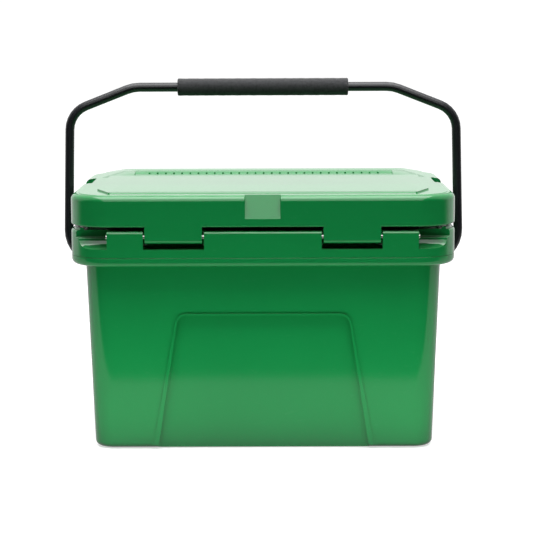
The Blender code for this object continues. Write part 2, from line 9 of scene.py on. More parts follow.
import bmesh
import bpy
from bpy.props import FloatProperty, FloatVectorProperty, IntProperty, PointerProperty
from bpy.types import Operator, Panel, PropertyGroup
from mathutils import Euler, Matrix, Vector


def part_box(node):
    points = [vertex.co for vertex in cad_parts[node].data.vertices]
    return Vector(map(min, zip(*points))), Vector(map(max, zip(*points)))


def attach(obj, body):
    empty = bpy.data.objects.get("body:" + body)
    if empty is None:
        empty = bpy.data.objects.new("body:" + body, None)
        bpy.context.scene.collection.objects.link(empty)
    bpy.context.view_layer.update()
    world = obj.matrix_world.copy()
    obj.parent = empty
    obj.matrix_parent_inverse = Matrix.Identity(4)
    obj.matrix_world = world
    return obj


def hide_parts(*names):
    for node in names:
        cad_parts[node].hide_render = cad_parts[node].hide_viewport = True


bl_info = {
    "name": "Ice box",
    "version": (1, 0, 0),
    "blender": (4, 5, 0),
    "location": "3D View > Sidebar > Ice Box",
    "description": "Builds a moulded ice box with its lid, bail handle, latches and a studio",
    "category": "Add Mesh",
}

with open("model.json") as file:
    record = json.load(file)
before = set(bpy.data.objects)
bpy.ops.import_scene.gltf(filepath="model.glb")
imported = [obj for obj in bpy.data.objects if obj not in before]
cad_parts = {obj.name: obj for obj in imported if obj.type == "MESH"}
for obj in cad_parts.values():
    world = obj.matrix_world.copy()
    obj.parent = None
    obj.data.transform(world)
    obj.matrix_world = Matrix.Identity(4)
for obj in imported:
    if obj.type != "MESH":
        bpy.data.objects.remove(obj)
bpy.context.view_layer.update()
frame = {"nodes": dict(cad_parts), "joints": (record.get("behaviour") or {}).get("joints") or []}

SIDES = ((-1, "left"), (1, "right"))


def low(node):
    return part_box(node)[0]


def high(node):
    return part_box(node)[1]


def joint_place(name):
    for joint in frame["joints"]:
        if joint["name"] == name:
            return Vector(joint["pos_m"])
    raise RuntimeError(f"the frame has no joint named {name}")


HINGE = joint_place("lid_hinge")
BAIL = joint_place("bail_swing")
LATCH = joint_place("latch_right_hinge")

# Plan and levels, all read from the frame
HALF_X = high("body_rim")[0]
HALF_Y = high("body_rim")[1]
SEAM_Z = low("body_rim")[2]
RIM_TOP = high("body_rim")[2]
BASE_Z = low("body_shell")[2]
SHELL_TOP = high("body_shell")[2]
LID_BOTTOM = high("lid_gasket")[2]
TAB_BOTTOM = low("lid_shell")[2]
RIDGE_TOP = high("lid_shell")[2]
PLUG_BOTTOM = low("lid_liner")[2]
TUB_BOTTOM = low("body_liner")[2]
GAP = SEAM_Z - SHELL_TOP
FOOT = (low("foot_front_right") + high("foot_front_right")) / 2
OUT = 0.02

# Ruler on the ridge: half its width, and the top of the slope that carries its marks
RULER_HALF = 0.1575
RULER_Y = 0.107

# Raised panel of the lid, rebate of the tub's lip, outer band of the lid's lower edge, and how far
# the border round the recess stands proud, and its width
PANEL_NEAR, PANEL_FAR = -0.126, 0.095
RABBET_INSET, RABBET_Z = 0.035, 0.2458
LID_BAND = 0.018
BORDER_RISE, BORDER_WIDTH = 0.0016, 0.0016

# A margin that takes an edge safely into a zone, and half the width of a latch's zone
EDGE = 0.001
BAY_ZONE_HALF = 0.02

# Smoothness
PLAN_STEPS = 18
TURN_STEP = math.radians(13)
ROUND_SIDES = 48


# ---------------------------------------------------------------- settings


def length(name, description, default):
    return FloatProperty(
        name=name, description=description, default=default, unit="LENGTH", precision=5
    )


def tint(name, description, default):
    return FloatVectorProperty(
        name=name, description=description, default=default, subtype="COLOR", min=0, max=1
    )


class BodySizes(PropertyGroup):
    corner: length("Corner", "Radius of the rim's corners in plan", 0.045)
    least_corner: length("Least corner", "Smallest radius of any inner level in plan", 0.014)
    base_inset: length("Base inset", "How far the foot of the wall stands in from the rim", 0.0229)
    neck_inset: length("Neck inset", "How far the top of the wall stands in from the rim", 0.0155)
    base_round: length("Base round", "Radius of the lower edge", 0.006)
    wall: length("Wall", "Thickness of the outer moulding", 0.0035)
    flange: length("Flange", "Height of the flange under the seam", 0.0098)
    rim_round: length("Rim round", "Radius of the rim's upper edge", 0.003)
    mouth_inset: length("Mouth inset", "Inner edge of the rim frame", 0.0463)
    recess_depth: length("Recess depth", "Depth of the tapered recess in the hinge side", 0.0045)
    recess_top: length("Recess top", "Height of the upper edge of the recess", 0.1545)


class LidSizes(PropertyGroup):
    edge_round: length("Edge round", "Radius of the lid's upper edge", 0.0066)
    crown: length("Crown", "Height of the lid's flat top above its lower edge", 0.0353)
    panel_rise: length("Panel rise", "Height of the raised panel", 0.0015)
    panel_half: length("Panel half width", "Half the width of the raised panel", 0.186)
    notch_half: length("Notch half width", "Half the width of the hinge-side strap notch", 0.0195)
    notch_depth: length("Notch depth", "Depth of that notch at the top", 0.012)
    tick_pitch: length("Tick pitch", "Spacing of the ruler's marks", 0.010)
    tick_count: IntProperty(name="Ticks", description="Number of ruler marks", default=29, min=1)


class BailSizes(PropertyGroup):
    rod: length("Rod radius", "Radius of the steel rod", 0.0053)
    spread: length("Spread", "Half the distance between the arms", 0.228)
    shoulder: length("Shoulder half width", "Half the distance between the shoulders", 0.2232)
    shoulder_z: length("Shoulder height", "Height at which the arms turn in", 0.3715)
    knee: length("Knee half width", "Half the distance between the knees", 0.150)
    grip_radius: length("Grip radius", "Radius of the foam grip", 0.010)


class LatchSizes(PropertyGroup):
    strap: length("Strap", "Thickness of the rubber strap", 0.006)
    neck_half: length("Neck half width", "Half the width of the strap", 0.0075)
    head_half: length("Head half width", "Half the width of the cross head", 0.016)
    bay_half: length("Bay half width", "Half the width of the bay it hangs in", 0.0175)


class Finishes(PropertyGroup):
    green: tint("Green plastic", "Colour of the outer mouldings", (0.006, 0.225, 0.052))
    white: tint("White plastic", "Colour of the tub and the lid's plug", (0.80, 0.81, 0.79))
    paint: tint("Black paint", "Colour of the bail", (0.011, 0.012, 0.014))
    grip: tint("Grip foam", "Colour of the foam grip", (0.013, 0.014, 0.016))
    rubber: tint("Rubber", "Colour of the latches, the seal and the feet", (0.018, 0.018, 0.019))
    nylon: tint("Nylon", "Colour of the bushes and the fill plugs", (0.016, 0.016, 0.017))
    steel: tint("Steel", "Colour of the pins and screws", (0.62, 0.62, 0.60))
    foam: tint("Insulation", "Colour of the foam inside the walls", (0.80, 0.70, 0.42))


class IceBoxSettings(PropertyGroup):
    body: PointerProperty(type=BodySizes)
    lid: PointerProperty(type=LidSizes)
    bail: PointerProperty(type=BailSizes)
    latch: PointerProperty(type=LatchSizes)
    finish: PointerProperty(type=Finishes)


def settings():
    return bpy.context.scene.ice_box


# ---------------------------------------------------------------- outlines


def round_corners(corners, closed=True):
    """Points through the corners (u, v, radius), with an arc of its own radius at each of them."""
    points = []
    for index, (u, v, radius) in enumerate(corners):
        here = Vector((u, v))
        is_end = not closed and index in (0, len(corners) - 1)
        if radius == 0 or is_end:
            points.append(here)
            continue
        back = (Vector(corners[index - 1][:2]) - here).normalized()
        ahead = (Vector(corners[(index + 1) % len(corners)][:2]) - here).normalized()
        half = back.angle(ahead) / 2
        middle = here + (back + ahead).normalized() * radius / math.sin(half)
        start = here + back * radius / math.tan(half) - middle
        turn = -start.angle_signed(here + ahead * radius / math.tan(half) - middle)
        steps = max(2, math.ceil(abs(turn) / TURN_STEP))
        for step in range(steps + 1):
            angle = turn * step / steps
            points.append(middle + Vector((
                start.x * math.cos(angle) - start.y * math.sin(angle),
                start.x * math.sin(angle) + start.y * math.cos(angle),
            )))
    return points


def rectangle(low_u, low_v, high_u, high_v, radius=0.0):
    corners = ((low_u, low_v), (high_u, low_v), (high_u, high_v), (low_u, high_v))
    return round_corners([(u, v, radius) for u, v in corners])


def circle(centre, radius, sides=ROUND_SIDES):
    points = []
    for step in range(sides):
        turn = math.tau * step / sides
        u = centre[0] + radius * math.cos(turn)
        v = centre[1] + radius * math.sin(turn)
        points.append(Vector((u, v)))
    return points


def mirrored(span, side):
    return sorted((side * span[0], side * span[1]))


def plan_ring(inset, z):
    """The rim's rounded rectangle, drawn in by inset, at height z."""
    body = settings().body
    corner = max(body.corner - inset, body.least_corner)
    half = (HALF_X - inset - corner, HALF_Y - inset - corner)
    ring = []
    for turn, (side_x, side_y) in enumerate(((1, 1), (-1, 1), (-1, -1), (1, -1))):
        for step in range(PLAN_STEPS + 1):
            angle = math.pi / 2 * (turn + step / PLAN_STEPS)
            x = side_x * half[0] + corner * math.cos(angle)
            y = side_y * half[1] + corner * math.sin(angle)
            ring.append(Vector((x, y, z)))
    return ring


# ---------------------------------------------------------------- meshes


def join_rings(mesh, rings, closed=False):
    """Faces between the rings in order; the ends are capped, or joined when closed."""
    held = set(mesh.faces)
    loops = [[mesh.verts.new(point) for point in ring] for ring in rings]
    pairs = list(zip(loops, loops[1:]))
    if closed:
        pairs.append((loops[-1], loops[0]))
    else:
        mesh.faces.new(loops[0][::-1])
        mesh.faces.new(loops[-1])
    for first, second in pairs:
        for here in range(len(first)):
            after = (here + 1) % len(first)
            mesh.faces.new((first[here], first[after], second[after], second[here]))
    bmesh.ops.recalc_face_normals(mesh, faces=[face for face in mesh.faces if face not in held])


def add_prism(mesh, axis, outline, start, end):
    """A closed prism: the outline lies in the plane across the axis, in X, Y, Z order."""
    place = {
        "X": lambda point, t: Vector((t, point[0], point[1])),
        "Y": lambda point, t: Vector((point[0], t, point[1])),
        "Z": lambda point, t: Vector((point[0], point[1], t)),
    }[axis]
    join_rings(mesh, [[place(point, t) for point in outline] for t in (start, end)])


def add_turned(mesh, axis, centre, sections, closed=False):
    """A turned body about an axis through centre; sections are (distance, radius) points."""
    rings = []
    for distance, radius in sections:
        if axis == "X":
            ring = [Vector((distance, y, z)) for y, z in circle((centre[1], centre[2]), radius)]
        elif axis == "Y":
            ring = [Vector((x, distance, z)) for x, z in circle((centre[0], centre[2]), radius)]
        else:
            ring = [Vector((x, y, distance)) for x, y in circle((centre[0], centre[1]), radius)]
        rings.append(ring)
    join_rings(mesh, rings, closed)


def add_piece(name, mesh):
    data = bpy.data.meshes.new(name)
    mesh.to_mesh(data)
    mesh.free()
    piece = bpy.data.objects.new(name, data)
    bpy.context.scene.collection.objects.link(piece)
    return piece


def make_frame(name, profile, closed=False):
    """A body whose levels are insets of the plan; the profile lists (inset, z)."""
    mesh = bmesh.new()
    join_rings(mesh, [plan_ring(inset, z) for inset, z in profile], closed)
    return add_piece(name, mesh)


def prisms(shapes):
    """One mesh of prisms, each (axis, outline, start, end)."""
    mesh = bmesh.new()
    for shape in shapes:
        add_prism(mesh, *shape)
    return mesh


def combine(piece, mesh, operation):
    """Cuts, joins or trims the piece with the mesh, and keeps the result as its own mesh."""
    tool = add_piece(piece.name + "_tool", mesh)
    step = piece.modifiers.new("Boolean", "BOOLEAN")
    step.operation = operation
    step.solver = "EXACT"
    step.object = tool
    bpy.context.view_layer.update()
    graph = bpy.context.evaluated_depsgraph_get()
    result = bpy.data.meshes.new_from_object(piece.evaluated_get(graph))
    piece.modifiers.remove(step)
    piece.data = result
    bpy.data.objects.remove(tool, do_unlink=True)
    if not result.polygons:
        raise RuntimeError(f"{piece.name} vanished when it was combined")


def tidy_faces(piece):
    """Joins the flat pieces that cutting leaves, so that the edges to be rounded are whole."""
    mesh = bmesh.new()
    mesh.from_mesh(piece.data)
    bmesh.ops.remove_doubles(mesh, verts=mesh.verts, dist=0.00001)
    bmesh.ops.dissolve_limit(
        mesh, angle_limit=math.radians(0.4), verts=mesh.verts, edges=mesh.edges
    )
    mesh.to_mesh(piece.data)
    mesh.free()


def soften(piece, width, zones, segments=3, least_angle=32, convex_only=False):
    """Rounds the piece's sharp edges in the zones, each a pair of opposite corners."""
    mesh = bmesh.new()
    mesh.from_mesh(piece.data)
    picked = []
    for edge in mesh.edges:
        if len(edge.link_faces) != 2 or edge.calc_face_angle(0.0) < math.radians(least_angle):
            continue
        if convex_only and not edge.is_convex:
            continue
        middle = (edge.verts[0].co + edge.verts[1].co) / 2
        for near, far in zones:
            if all(near[i] <= middle[i] <= far[i] for i in range(3)):
                picked.append(edge)
                break
    bmesh.ops.bevel(
        mesh, geom=picked, offset=width, offset_type="OFFSET", segments=segments, profile=0.5,
        affect="EDGES", clamp_overlap=True,
    )
    mesh.to_mesh(piece.data)
    mesh.free()


def finish(piece, body, slot, material, *nodes, angle=34):
    """Shades the piece, hangs it on its body and lets it stand for the frame's nodes."""
    piece.data.shade_smooth()
    piece.data.set_sharp_from_angle(angle=math.radians(angle))
    weighted = piece.modifiers.new("Even shading", "WEIGHTED_NORMAL")
    weighted.keep_sharp = True
    piece.data.materials.clear()
    piece.data.materials.append(material)
    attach(piece, body)
    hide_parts(*nodes)
    return piece


# ---------------------------------------------------------------- shader groups


def new_group(name, inputs, outputs):
    """A shader node group with float inputs (name, default) and outputs (name, socket type)."""
    group = bpy.data.node_groups.new(name, "ShaderNodeTree")
    for label, default in inputs:
        socket = group.interface.new_socket(label, in_out="INPUT", socket_type="NodeSocketFloat")
        socket.default_value = default
    for label, kind in outputs:
        group.interface.new_socket(label, in_out="OUTPUT", socket_type=kind)
    source = group.nodes.new("NodeGroupInput")
    result = group.nodes.new("NodeGroupOutput")
    source.location = (-900, 0)
    result.location = (600, 0)
    return group, source, result


def add_node(tree, kind, place, **values):
    node = tree.nodes.new(kind)
    node.location = place
    for name, value in values.items():
        setattr(node, name, value)
    return node


def math_node(tree, operation, place, first=None, second=None, clamp=False):
    node = add_node(tree, "ShaderNodeMath", place, operation=operation, use_clamp=clamp)
    for index, value in enumerate((first, second)):
        if value is None:
            continue
        if isinstance(value, (int, float)):
            node.inputs[index].default_value = value
        else:
            tree.links.new(value, node.inputs[index])
    return node.outputs[0]


def noise_node(tree, place, vector, scale, detail=3.0, roughness=0.5):
    node = add_node(tree, "ShaderNodeTexNoise", place)
    tree.links.new(vector, node.inputs["Vector"])
    for name, value in (("Scale", scale), ("Detail", detail), ("Roughness", roughness)):
        if isinstance(value, (int, float)):
            node.inputs[name].default_value = value
        else:
            tree.links.new(value, node.inputs[name])
    return node.outputs["Fac"]


def make_moulding_group():
    """Skin of moulded plastic: a faint orange-peel height, and a slow tone from thin to thick."""
    group, source, result = new_group(
        "moulded_skin",
        [("Grain Scale", 900.0), ("Ripple Scale", 60.0), ("Ripple Share", 0.5)],
        [("Height", "NodeSocketFloat"), ("Tone", "NodeSocketFloat")],
    )
    where = add_node(group, "ShaderNodeTexCoord", (-900, 300)).outputs["Object"]
    grain = noise_node(group, (-600, 200), where, source.outputs["Grain Scale"], 2.0)
    ripple = noise_node(group, (-600, 0), where, source.outputs["Ripple Scale"], 1.0)
    raised = math_node(group, "MULTIPLY", (-300, 0), ripple, source.outputs["Ripple Share"])
    height = math_node(group, "ADD", (-100, 100), grain, raised)
    tone = noise_node(group, (-600, -250), where, 7.0, 3.0, 0.6)
    group.links.new(height, result.inputs["Height"])
    group.links.new(tone, result.inputs["Tone"])
    return group


def make_scuff_group():
    """Fine scuffs in two crossing directions, thinned out by slow patches: 0 clean, 1 scuffed."""
    group, source, result = new_group(
        "light_scuffs", [("Scale", 90.0), ("Amount", 0.5)], [("Mask", "NodeSocketFloat")]
    )
    where = add_node(group, "ShaderNodeTexCoord", (-1100, 300)).outputs["Object"]
    lines = []
    for row, (turn, stretch) in enumerate(((0.6, (1.0, 14.0, 3.0)), (-1.1, (12.0, 1.0, 5.0)))):
        level = 300 - 300 * row
        mapping = add_node(group, "ShaderNodeMapping", (-850, level))
        mapping.inputs["Rotation"].default_value = (turn, turn * 0.5, turn)
        mapping.inputs["Scale"].default_value = stretch
        group.links.new(where, mapping.inputs["Vector"])
        turned = mapping.outputs["Vector"]
        streak = noise_node(group, (-600, level), turned, source.outputs["Scale"], 4.0, 0.65)
        thin = add_node(group, "ShaderNodeMapRange", (-350, level))
        thin.inputs["From Min"].default_value = 0.60
        thin.inputs["From Max"].default_value = 0.74
        group.links.new(streak, thin.inputs["Value"])
        lines.append(thin.outputs["Result"])
    both = math_node(group, "MAXIMUM", (-100, 150), *lines)
    patches = noise_node(group, (-600, -350), where, 9.0, 2.0)
    spread = math_node(group, "MULTIPLY", (-100, -150), patches, source.outputs["Amount"])
    mask = math_node(group, "MULTIPLY", (150, 0), both, spread, clamp=True)
    group.links.new(mask, result.inputs["Mask"])
    return group


def make_dust_group():
    """Thin dust that settles on faces that look up: 0 clean, 1 dusty."""
    group, source, result = new_group(
        "settled_dust", [("Scale", 30.0), ("Amount", 0.2)], [("Mask", "NodeSocketFloat")]
    )
    geometry = add_node(group, "ShaderNodeNewGeometry", (-900, 300))
    split = add_node(group, "ShaderNodeSeparateXYZ", (-700, 300))
    group.links.new(geometry.outputs["Normal"], split.inputs["Vector"])
    up = math_node(group, "POWER", (-500, 300), split.outputs["Z"], 3.0, clamp=True)
    where = add_node(group, "ShaderNodeTexCoord", (-900, 0)).outputs["Object"]
    cloud = noise_node(group, (-600, 0), where, source.outputs["Scale"], 5.0, 0.6)
    lying = math_node(group, "MULTIPLY", (-250, 150), up, cloud)
    mask = math_node(group, "MULTIPLY", (0, 100), lying, source.outputs["Amount"], clamp=True)
    group.links.new(mask, result.inputs["Mask"])
    return group


def make_cell_group():
    """Fine cells of foam or matt rubber: a height, and a mask of the pits between the cells, which
    the materials darken with painted shade and make rougher.
    """
    group, source, result = new_group(
        "foam_cells",
        [("Scale", 1400.0)],
        [("Height", "NodeSocketFloat"), ("Pits", "NodeSocketFloat")],
    )
    where = add_node(group, "ShaderNodeTexCoord", (-900, 200)).outputs["Object"]
    cells = add_node(group, "ShaderNodeTexVoronoi", (-600, 200), feature="F1")
    group.links.new(where, cells.inputs["Vector"])
    group.links.new(source.outputs["Scale"], cells.inputs["Scale"])
    uneven = noise_node(group, (-600, -100), where, 350.0, 4.0, 0.7)
    height = math_node(group, "ADD", (-250, 100), cells.outputs["Distance"], uneven)
    pits = add_node(group, "ShaderNodeMapRange", (-250, -150))
    pits.inputs["From Min"].default_value = 0.45
    pits.inputs["From Max"].default_value = 0.75
    group.links.new(uneven, pits.inputs["Value"])
    group.links.new(height, result.inputs["Height"])
    group.links.new(pits.outputs["Result"], result.inputs["Pits"])
    return group


GROUP_MAKERS = {
    "moulded_skin": make_moulding_group,
    "light_scuffs": make_scuff_group,
    "settled_dust": make_dust_group,
    "foam_cells": make_cell_group,
}


# ---------------------------------------------------------------- materials


def new_material(name):
    material = bpy.data.materials.new(name)
    material.use_nodes = True
    tree = material.node_tree
    return material, tree, tree.nodes["Principled BSDF"]


def use_group(tree, name, place, **values):
    """A node that holds the shared group, made when it is first needed."""
    if name not in bpy.data.node_groups:
        GROUP_MAKERS[name]()
    node = add_node(tree, "ShaderNodeGroup", place, node_tree=bpy.data.node_groups[name])
    for label, value in values.items():
        node.inputs[label.replace("_", " ").title()].default_value = value
    return node


def mix_colours(tree, place, mask, first, second):
    """A colour from first to second by the mask; each is a colour or another node's output."""
    node = add_node(tree, "ShaderNodeMix", place, data_type="RGBA")
    tree.links.new(mask, node.inputs["Factor"])
    for label, value in (("A", first), ("B", second)):
        socket = next(item for item in node.inputs if item.name == label and item.type == "RGBA")
        if isinstance(value, bpy.types.NodeSocket):
            tree.links.new(value, socket)
        else:
            socket.default_value = (*value, 1.0)
    return next(item for item in node.outputs if item.type == "RGBA")


def spread_value(tree, place, value, least, most):
    """Maps a 0 to 1 value onto a range."""
    node = add_node(tree, "ShaderNodeMapRange", place)
    tree.links.new(value, node.inputs["Value"])
    node.inputs["To Min"].default_value = least
    node.inputs["To Max"].default_value = most
    return node.outputs["Result"]


def bump_from(tree, place, height, distance, strength=1.0):
    node = add_node(tree, "ShaderNodeBump", place)
    node.inputs["Distance"].default_value = distance
    node.inputs["Strength"].default_value = strength
    tree.links.new(height, node.inputs["Height"])
    return node.outputs["Normal"]


def shade(colour, factor):
    return tuple(min(1.0, part * factor) for part in colour)


def shared(name):
    """Makes a material the first time it is asked for; after that the same one is handed out."""
    def hold(make):
        return lambda: bpy.data.materials.get(name) or make(name)
    return hold


def dress(tree, shader, colour, roughness, normal):
    """Feeds a surface's colour, roughness and normal to its shader."""
    tree.links.new(colour, shader.inputs["Base Color"])
    tree.links.new(roughness, shader.inputs["Roughness"])
    tree.links.new(normal, shader.inputs["Normal"])


def plastic_material(name, colour, roughness, scuff_colour, scuffs=0.35, peel=0.00002, dust=0.10):
    """Moulded plastic: tone drift, orange peel, fine scuffs and a trace of dust on top faces."""
    material, tree, shader = new_material(name)
    skin = use_group(tree, "moulded_skin", (-900, 100))
    marks = use_group(tree, "light_scuffs", (-900, -200), amount=scuffs)
    layer = use_group(tree, "settled_dust", (-900, -400), amount=dust)
    scuffed, dusted = marks.outputs["Mask"], layer.outputs["Mask"]
    darker, lighter = shade(colour, 0.93), shade(colour, 1.07)
    base = mix_colours(tree, (-600, 300), skin.outputs["Tone"], darker, lighter)
    rubbed = mix_colours(tree, (-400, 250), scuffed, base, scuff_colour)
    dusty = mix_colours(tree, (-200, 200), dusted, rubbed, (0.62, 0.60, 0.56))
    worn = math_node(tree, "ADD", (-500, -150), scuffed, dusted, clamp=True)
    rough = spread_value(tree, (-300, -150), worn, roughness, roughness + 0.35)
    normal = bump_from(tree, (-300, -350), skin.outputs["Height"], peel)
    dress(tree, shader, dusty, rough, normal)
    return material


@shared("moulded_green_plastic")
def green_material(name):
    colour = tuple(settings().finish.green)
    material = plastic_material(name, colour, 0.09, (0.06, 0.34, 0.14), scuffs=0.15)
    material.node_tree.nodes["Principled BSDF"].inputs["IOR"].default_value = 1.49
    return material


@shared("moulded_white_plastic")
def white_material(name):
    colour = tuple(settings().finish.white)
    rubbed = (0.66, 0.66, 0.63)
    return plastic_material(name, colour, 0.30, rubbed, scuffs=0.3, peel=0.00003, dust=0.06)


@shared("moulded_black_nylon")
def nylon_material(name):
    colour = tuple(settings().finish.nylon)
    return plastic_material(name, colour, 0.42, (0.09, 0.09, 0.09), scuffs=0.5, peel=0.00004)


@shared("black_powder_coat")
def paint_material(name):
    """Semi-gloss powder coat: a fine pebbled skin with faint handling scuffs."""
    material, tree, shader = new_material(name)
    skin = use_group(tree, "moulded_skin", (-900, 100), grain_scale=1600.0, ripple_scale=420.0)
    marks = use_group(tree, "light_scuffs", (-900, -200), scale=160.0, amount=0.5)
    colour = tuple(settings().finish.paint)
    darker, lighter = shade(colour, 0.85), shade(colour, 1.2)
    base = mix_colours(tree, (-600, 300), skin.outputs["Tone"], darker, lighter)
    rubbed = mix_colours(tree, (-400, 250), marks.outputs["Mask"], base, (0.06, 0.06, 0.062))
    rough = spread_value(tree, (-300, -150), marks.outputs["Mask"], 0.24, 0.4)
    normal = bump_from(tree, (-300, -350), skin.outputs["Height"], 0.00006)
    dress(tree, shader, rubbed, rough, normal)
    shader.inputs["Specular IOR Level"].default_value = 0.35
    return material


def cellular_material(name, colour, roughness, cell_scale, depth, painted_pit_shade=0.45, sheen=0.0):
    """Foam or rubber: fine cells with their pits darkened by painted shade, and a trace of dust.
    """
    material, tree, shader = new_material(name)
    cells = use_group(tree, "foam_cells", (-900, 100), scale=cell_scale)
    layer = use_group(tree, "settled_dust", (-900, -300), scale=60.0, amount=0.10)
    pits = cells.outputs["Pits"]
    # Painted shade: the pits between the cells are darkened, and the rest of the skin is a little
    # lighter than the colour.
    pale = mix_colours(tree, (-600, 300), pits, shade(colour, 1.15), shade(colour, painted_pit_shade))
    dusty = mix_colours(tree, (-400, 250), layer.outputs["Mask"], pale, (0.30, 0.30, 0.29))
    rough = spread_value(tree, (-400, -100), pits, roughness, min(1.0, roughness + 0.12))
    normal = bump_from(tree, (-400, -300), cells.outputs["Height"], depth)
    dress(tree, shader, dusty, rough, normal)
    shader.inputs["Sheen Weight"].default_value = sheen
    shader.inputs["Sheen Roughness"].default_value = 0.5
    return material


@shared("moulded_rubber")
def rubber_material(name):
    return cellular_material(name, tuple(settings().finish.rubber), 0.55, 2400.0, 0.00004, 0.75)


@shared("plain_steel")
def steel_material(name):
    """Plain steel with fine scuffs and dull patches."""
    material, tree, shader = new_material(name)
    marks = use_group(tree, "light_scuffs", (-900, -100), scale=260.0, amount=0.9)
    skin = use_group(tree, "moulded_skin", (-900, 200), grain_scale=3000.0, ripple_scale=300.0)
    colour = tuple(settings().finish.steel)
    darker, lighter = shade(colour, 0.85), shade(colour, 1.1)
    base = mix_colours(tree, (-500, 250), skin.outputs["Tone"], darker, lighter)
    rough = spread_value(tree, (-500, -100), marks.outputs["Mask"], 0.26, 0.6)
    normal = bump_from(tree, (-500, -300), skin.outputs["Height"], 0.00001)
    dress(tree, shader, base, rough, normal)
    shader.inputs["Metallic"].default_value = 1.0
    return material


# ---------------------------------------------------------------- body


def wall_inset(z):
    """Inset of the leaning outer wall at height z."""
    body = settings().body
    neck_z = SHELL_TOP - body.flange
    share = (z - BASE_Z) / (neck_z - BASE_Z)
    return body.base_inset + (body.neck_inset - body.base_inset) * share


def recess_outline(grow=0.0):
    """Tapered outline with round upper corners, open at its foot: (x, z)."""
    body = settings().body
    top_half, foot_half, corner = 0.096, 0.120, 0.012
    slope = (foot_half - top_half) / body.recess_top
    foot = foot_half + slope * OUT + grow
    corners = [
        (foot, -OUT, 0.0),
        (top_half + grow, body.recess_top + grow, corner + grow),
        (-top_half - grow, body.recess_top + grow, corner + grow),
        (-foot, -OUT, 0.0),
    ]
    return round_corners(corners)


def wall_slab(outline, near, far):
    """A slab that follows the leaning hinge-side wall, from near to far behind its face."""
    mesh = bmesh.new()
    rings = []
    for depth in (near, far):
        rings.append([Vector((x, wall_inset(z) - HALF_Y + depth, z)) for x, z in outline])
    join_rings(mesh, rings)
    return mesh


def latch_bays(low_z, high_z):
    """The two bays that the latches hang in, as prisms."""
    half = settings().latch.bay_half
    back_y = LATCH.y - 0.0078
    shapes = []
    for side, _word in SIDES:
        x = side * LATCH.x
        outline = rectangle(x - half, back_y, x + half, HALF_Y + OUT, 0.0025)
        shapes.append(("Z", outline, low_z, high_z))
    return shapes


def bay_zones(low_z, high_z):
    """The zones round the two latch bays between two heights."""
    zones = []
    for side, _word in SIDES:
        near, far = side * LATCH.x - BAY_ZONE_HALF, side * LATCH.x + BAY_ZONE_HALF
        zones.append(((near, LATCH.y - 0.009, low_z), (far, HALF_Y + EDGE, high_z)))
    return zones


def make_outer_shell():
    body = settings().body
    neck_z = SHELL_TOP - body.flange
    outside = round_corners([
        (body.base_inset + 0.03, BASE_Z, 0.0),
        (body.base_inset, BASE_Z, body.base_round),
        (body.neck_inset, neck_z, 0.0015),
        (0.0, neck_z, body.base_round),
        (0.0, SHELL_TOP, 0.0003),
        (body.neck_inset + body.wall, SHELL_TOP, 0.0006),
        (body.base_inset + body.wall, BASE_Z + 0.006, 0.0),
    ], closed=False)
    shell = make_frame("outer_shell", outside)
    fit = high("bail_bush_right")[1] - BAIL.y
    boss_x = high("bail_bush_right")[0] - 0.0015
    boss = circle((BAIL.y, BAIL.z), fit + 0.001)
    bosses = [("X", boss, *mirrored((0.181, boss_x), side)) for side, _word in SIDES]
    combine(shell, prisms(bosses), "UNION")
    backing = [Vector((x, max(z, BASE_Z + 0.005))) for x, z in recess_outline(body.wall)]
    backing_slab = wall_slab(backing, body.wall - 0.001, body.recess_depth + body.wall)
    combine(shell, backing_slab, "UNION")
    border = [Vector((x, max(z, BASE_Z + 0.004))) for x, z in recess_outline(0.0006)]
    combine(shell, wall_slab(border, -BORDER_RISE, 0.001), "UNION")
    opening = recess_outline(-BORDER_WIDTH)
    combine(shell, wall_slab(opening, -OUT, body.recess_depth), "DIFFERENCE")
    bore = circle((BAIL.y, BAIL.z), 0.0092)
    plug = (low("fill_plug_right") + high("fill_plug_right")) / 2
    seat = high("fill_plug_right")[0] - plug[0] + GAP
    plug_top = high("fill_plug_right")[2] + GAP
    foot_r = high("foot_front_right")[0] - FOOT[0] + GAP
    foot_top = high("foot_front_right")[2] + GAP
    cuts = latch_bays(neck_z - 0.0014, SEAM_Z + OUT)
    for side, _word in SIDES:
        cuts.append(("X", bore, *mirrored((0.165, HALF_X), side)))
        cuts.append(("Z", circle((side * plug[0], plug[1]), seat), -OUT, plug_top))
        for end in (-1, 1):
            place = (side * FOOT[0], end * FOOT[1])
            cuts.append(("Z", circle(place, foot_r), -OUT, foot_top))
    for x in (-0.10, 0.0, 0.10):
        groove = rectangle(x - 0.0015, -0.070, x + 0.0015, 0.070, 0.0014)
        cuts.append(("Z", groove, -OUT, BASE_Z + 0.0008))
    combine(shell, prisms(cuts), "DIFFERENCE")
    tidy_faces(shell)
    edge_y = -HALF_Y + body.base_inset + 0.012
    recess = ((-0.125, -HALF_Y, BASE_Z - EDGE), (0.125, edge_y, body.recess_top + 0.004))
    soften(shell, 0.0007, [recess], segments=3, convex_only=True)
    soften(shell, 0.0006, bay_zones(neck_z - 0.003, SEAM_Z), segments=2)
    return finish(shell, "body", "green_plastic", green_material(), "body_shell")


